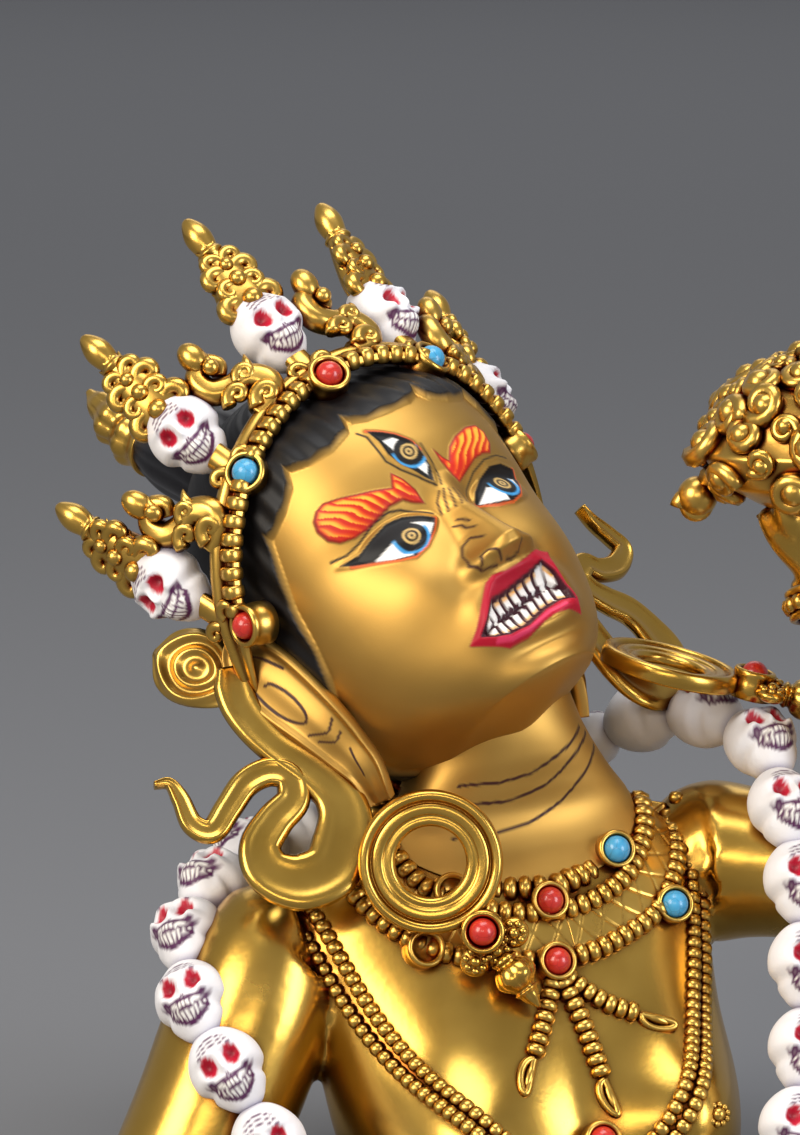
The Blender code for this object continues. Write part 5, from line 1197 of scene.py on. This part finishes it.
# The drop behind each ear: share of its length, half width; its face carries raised rings round a boss
DROP = ((0.0, 1.4), (0.12, 1.8), (0.28, 2.4), (0.45, 3.6), (0.62, 4.3), (0.78, 4.2), (0.92, 3.0), (1.0, 0.5))
DROP_RINGS = ((0.85, 0.85, 0.13), (0.6, 0.46, 0.1), (0.6, 0, 0.16))  # how far each is raised, its radius and width
DROP_ACROSS = 49  # points across its front
drops = []
for side in (-1, 1):
    end, middle = on_band(side * BAND_END), on_head(SIDE_DROP * (side, 1, 1))
    far = unit(middle - end)
    front = unit(HEAD_AXES[0] * side + 1.3 * HEAD_AXES[1])
    tall = np.linalg.norm(middle - end) + 0.15 * FACE
    table = curve_through([(share * tall, 0, 0, wide) for share, wide in DROP], 64)
    v = across_and_back(DROP_ACROSS, 12)
    ring = np.hypot(v, (table[:, :1] / tall - 0.64) / 0.34)
    dish = 0.35 + sum(raised * np.exp(-(((ring - at) / wide) ** 2)) for raised, at, wide in DROP_RINGS)
    high = np.where(np.arange(len(v)) < DROP_ACROSS, dish * np.sqrt(np.clip(1 - v**6, 0, 1)), -0.7)
    path = end + table[:, :1] * far
    drops.append(woven(carried(path, front, np.stack([table[:, 3:] * v, high], axis=-1))))
piece("side_drops", mesh_of("side_drops", joined(drops)), "crown", CHASED)


# Ribbons: flat bands cut and bent from gilt copper sheet, hollowed along their faces between raised rims.
# They are pinned behind the ears and fly out as in a wind.

RIBBON_THICK, RIBBON_SWEEP = 1.9, np.radians(18)
RIBBON_ROOT = np.array([0.46, -0.06, 0.0])
# Out from the ear and up, in millimetres
RIBBON_LEFT = ((5.2, 2.4), (6.6, -2.1), (6.0, -7.2), (3.9, -12.3), (3.1, -16.3), (4.4, -19.6), (7.9, -22.6),
               (11.8, -22.2), (14.0, -19.5), (13.4, -16.6), (10.5, -14.9), (7.5, -13.9), (6.5, -11.6), (8.0, -9.9),
               (10.9, -9.7), (14.0, -11.1), (16.9, -12.4), (18.3, -10.7), (17.9, -7.7), (18.0, -5.5), (19.5, -4.8))
RIBBON_RIGHT = ((3.2, 2.0), (2.6, -4.7), (2.4, -10.8), (3.0, -16.2), (5.2, -19.4), (9.1, -19.2), (12.2, -16.5),
                (12.0, -13.3), (10.8, -10.5), (8.5, -8.5), (6.8, -6.6), (6.6, -4.5), (8.7, -3.5), (10.5, -4.6),
                (13.5, -4.7), (16.4, -3.0), (15.8, -1.0), (14.6, 1.3), (14.1, 3.4))
# Share of the length, half width
RIBBON_HALF_WIDTHS = ((0, 1.6), (0.03, 2.3), (0.15, 2.1), (0.27, 2.6), (0.36, 3.4), (0.46, 3.3), (0.56, 2.3),
                      (0.7, 1.7), (0.85, 1.5), (0.95, 1.0), (1, 0.35))
RIBBON_STEPS, RIBBON_ACROSS = 220, 33  # points along a ribbon, and across its front

for side, name, route in ((-1, "left", RIBBON_LEFT), (1, "right", RIBBON_RIGHT)):
    flat = curve_through(np.column_stack([route, np.zeros(len(route))]), RIBBON_STEPS)[:, :2] / FACE
    away = np.array([side * np.cos(RIBBON_SWEEP), -np.sin(RIBBON_SWEEP), 0])
    path = on_head(RIBBON_ROOT * (side, 1, 1) + flat[:, :1] * away + flat[:, 1:] * np.array([0, 0, 1]))
    facing = np.cross(away, (0, 0, 1)) * -side @ HEAD_AXES
    width = np.interp(np.linspace(0, 1, RIBBON_STEPS), *np.array(RIBBON_HALF_WIDTHS).T)
    v = across_and_back(RIBBON_ACROSS, 11)
    dish = 0.70 + 0.26 * np.exp(-(((np.abs(v) - 0.72) / 0.30) ** 2))
    above, behind = dish * np.sqrt(np.clip(1 - v**6, 0, 1)), -0.8 * np.sqrt(np.clip(1 - v**4, 0, 1))
    high = 0.5 * RIBBON_THICK * np.where(np.arange(len(v)) < RIBBON_ACROSS, above, behind)
    profile = np.stack([width[:, None] * v, np.broadcast_to(high, (RIBBON_STEPS, len(v)))], axis=-1)
    mesh = mesh_of(f"flying_ribbon_{name}", woven(carried(path, facing, profile)))
    piece(f"flying_ribbon_{name}", mesh, f"ribbon_{name}", BURNISHED)


# Earrings: turned rings with a stepped face, hung through the lobes, each with a set stone, three petals and a bud.

RING_OUTSIDE, RING_HOLE, RING_THICK = 15.4, 7.8, 2.0
STONE_BELOW, PETAL, PETAL_BELOW = 1.6, 1.7, 2.6
EARRINGS = {
    "left": ((-0.463, 0.015, -0.752), (0.183, -0.180, -0.966), (-0.546, 0.799, -0.252)),
    "right": ((0.577, 0.087, -0.552), (0.659, 0.223, -0.717), (0.406, 0.692, 0.598)),
}
# Outline of the ring's wall: share of the way from hole to edge, and height towards the viewer
RING_WALL = ((1.0, -0.9), (1.03, 0.0), (0.99, 0.75), (0.89, 1.05), (0.76, 0.95), (0.70, 0.60), (0.66, 0.45),
             (0.61, 0.62), (0.52, 0.74), (0.36, 0.66), (0.30, 0.45), (0.24, 0.42), (0.16, 0.48), (0.06, 0.40),
             (-0.02, 0.0), (0.0, -0.6), (0.15, -0.9), (0.5, -1.0))
WALL_POINTS, RING_AROUND = 72, 96  # points round the wall's outline, and round the ring
BUD = ((3.2, 1.0), (3.8, 1.5), (4.3, 1.3), (4.8, 1.9), (5.6, 2.3), (6.3, 2.3), (7.0, 1.8), (7.6, 1.2), (7.9, 1.4),
       (8.3, 1.1), (8.9, 0.9), (9.6, 0.5), (10.1, 0.2))

for which, rows in EARRINGS.items():
    centre, hang, face = (np.array(row) for row in rows)
    centre, hang, face = on_head(centre), unit(hang @ HEAD_AXES), face @ HEAD_AXES
    face = unit(face - face @ hang * hang)
    across = np.cross(hang, face)
    ring_axes = np.array([hang, across, face])
    wall = read_table(RING_WALL + RING_WALL[:1], np.linspace(0, len(RING_WALL), WALL_POINTS + 1)[:-1])
    radius = (RING_HOLE + (RING_OUTSIDE - RING_HOLE) * wall[:, 0]) / 2
    spoke = circle(RING_AROUND)
    rings = np.stack([radius[:, None] * spoke[:, 0], radius[:, None] * spoke[:, 1],
                      np.broadcast_to(wall[:, 1:] * RING_THICK / 2, (WALL_POINTS, RING_AROUND))], axis=-1)
    jewels = [woven(centre + rings @ ring_axes, closed=True)]
    below = RING_OUTSIDE / 2 + STONE_BELOW + PETAL_BELOW
    seat = centre + (RING_OUTSIDE / 2 + STONE_BELOW) * hang + (RING_THICK / 2 + 0.9) * face
    jewels.append(turned(COLLET, seat, axes_facing(face)))
    frame_axes = np.array([across, face, hang])
    for side in (-1, 0, 1):
        middle = centre + (below - 0.5 * abs(side)) * hang + 1.5 * PETAL * side * across
        jewels.append(copies(unit_ball(24, 16), middle, frame_axes, np.array([(PETAL, 0.9, PETAL)])))
        ring = circle(7)
        dots = middle + 0.6 * face + 1.05 * (ring[:, :1] * across + ring[:, 1:] * hang)
        jewels.append(copies(BEAD, dots, frame_axes, 0.42))
        jewels.append(copies(unit_ball(12, 8), middle + 0.85 * face, frame_axes, 0.62))
    bud = read_table(np.array(BUD), np.linspace(0, len(BUD) - 1, 60))
    lobes = 1 + 0.10 * np.abs(np.cos(3 * np.arange(60) / 60 * 2 * np.pi)) - 0.08
    ring = circle(60) * lobes[:, None]
    rings = (centre + (RING_OUTSIDE / 2 + STONE_BELOW + bud[:, :1]) * hang)[:, None] + bud[:, 1:, None] * (
        ring[:, :1] * across + ring[:, 1:] * face)
    jewels.append(woven(rings))
    mesh = mesh_of(f"ring_earring_{which}", joined(jewels))
    piece(f"ring_earring_{which}", mesh, f"earring_{which}", BURNISHED)
    set_stone(f"earring_stone_{which}", seat, face)


# Skull cup: a round cast bowl with a heap of curling cloud rising from it and a snail curl at its side.
# The heap is cast with the bowl and chased into scrolls, bright on top and red-brown in the hollows.

CUP_PLACE, CUP_WIDE, CUP_DEEP = np.array([41.2, 27.0, 70.4]), 26.6, 5.9
HEAP_HIGH, HEAP_SUNK = 17.6, 3.4
HEAP = ((0.0, 0.93), (0.10, 1.15), (0.30, 1.30), (0.42, 1.21), (0.58, 1.12), (0.72, 1.0), (0.84, 0.76), (0.93, 0.50),
        (1.0, 0.08))
SNAIL, SNAIL_RADIUS = np.array([-16.2, 0.0, -3.4]), 2.6
SCROLLS, SCROLL_SINK = 92, 1.5

centre = on_torso(CUP_PLACE)
rim = CUP_WIDE / 2
CUP_AROUND, BOWL_UP = 120, 30  # points round the cup, and up its bowl
ring = circle(CUP_AROUND)
turn = np.arange(CUP_AROUND) / CUP_AROUND * 2 * np.pi
fall = np.sin(np.linspace(89, 2, BOWL_UP) * np.pi / 180)[:, None]
flat = rim * np.sqrt(1 - fall**2)
depth = np.broadcast_to(-fall * CUP_DEEP, (BOWL_UP, CUP_AROUND))
bowl = woven(centre + np.stack([flat * ring[:, 0], flat * ring[:, 1], depth], axis=-1))


def on_heap(share, turn, sink):
    """A place on the heap: its outline's radius with five and three soft lobes, sunk inwards."""
    lobes = 1 + 0.04 * np.cos(5 * turn + 0.6) + 0.03 * np.cos(3 * turn + 9 * share)
    radius = np.maximum(rim * np.interp(share, *np.array(HEAP).T) * lobes - sink, 0.1)
    up = HEAP_HIGH * share - HEAP_SUNK - sink * np.clip((share - 0.5) * 2, 0, 1)
    return centre + np.stack([radius * np.cos(turn), radius * np.sin(turn), up], axis=-1)


share, swing = np.meshgrid(np.linspace(0, 1, 60), turn, indexing="ij")
heap = woven(on_heap(share, swing, SCROLL_SINK))
# Scrolls sit on the heap at the golden angle, so that no two rows line up
number = np.arange(SCROLLS)
share = 0.02 + 0.97 * (number / SCROLLS) ** 0.85
swing = np.radians(137.5) * number
spots = on_heap(share, swing, SCROLL_SINK * 1.1)
out = unit(on_heap(share + 1e-3, swing, 0) - on_heap(share - 1e-3, swing, 0))
side = unit(on_heap(share, swing + 1e-3, 0) - on_heap(share, swing - 1e-3, 0))
out = np.cross(side, out)
out = out * np.sign(np.sum(out * (spots - centre), axis=1, keepdims=True))
spin = 1.3 * number
up = np.cross(out, side)
first = np.cos(spin)[:, None] * side + np.sin(spin)[:, None] * up
axes = np.stack([first, out, np.cross(first, out)], axis=1)
size = 2.15 + 0.5 * np.sin(2.1 * number)
BIG_CURL = curl(1.5, 0.46, 24, 8)
scrolls = copies(BIG_CURL, spots - size[:, None] * (first + 0.4 * axes[:, 2]) + 0.4 * out, axes, size)
knobs = copies(unit_ball(12, 8), spots + 0.7 * out, axes, 0.62 * size)
snail_axes = np.array([(1, 0, 0), (0, -1, 0), (0, 0, 1.0)])
snail = copies(curl(1.9, 0.55, 40, 16), centre + SNAIL + (-2.1, 0, -1.2), snail_axes, 1.75)
snail_ball = copies(unit_ball(24, 16), centre + SNAIL, np.eye(3), SNAIL_RADIUS * 0.86)
cup_parts = joined([bowl, heap, scrolls, knobs, snail, snail_ball])
piece("cup_of_cloud", mesh_of("cup_of_cloud", cup_parts), "skull_cup", CHASED)
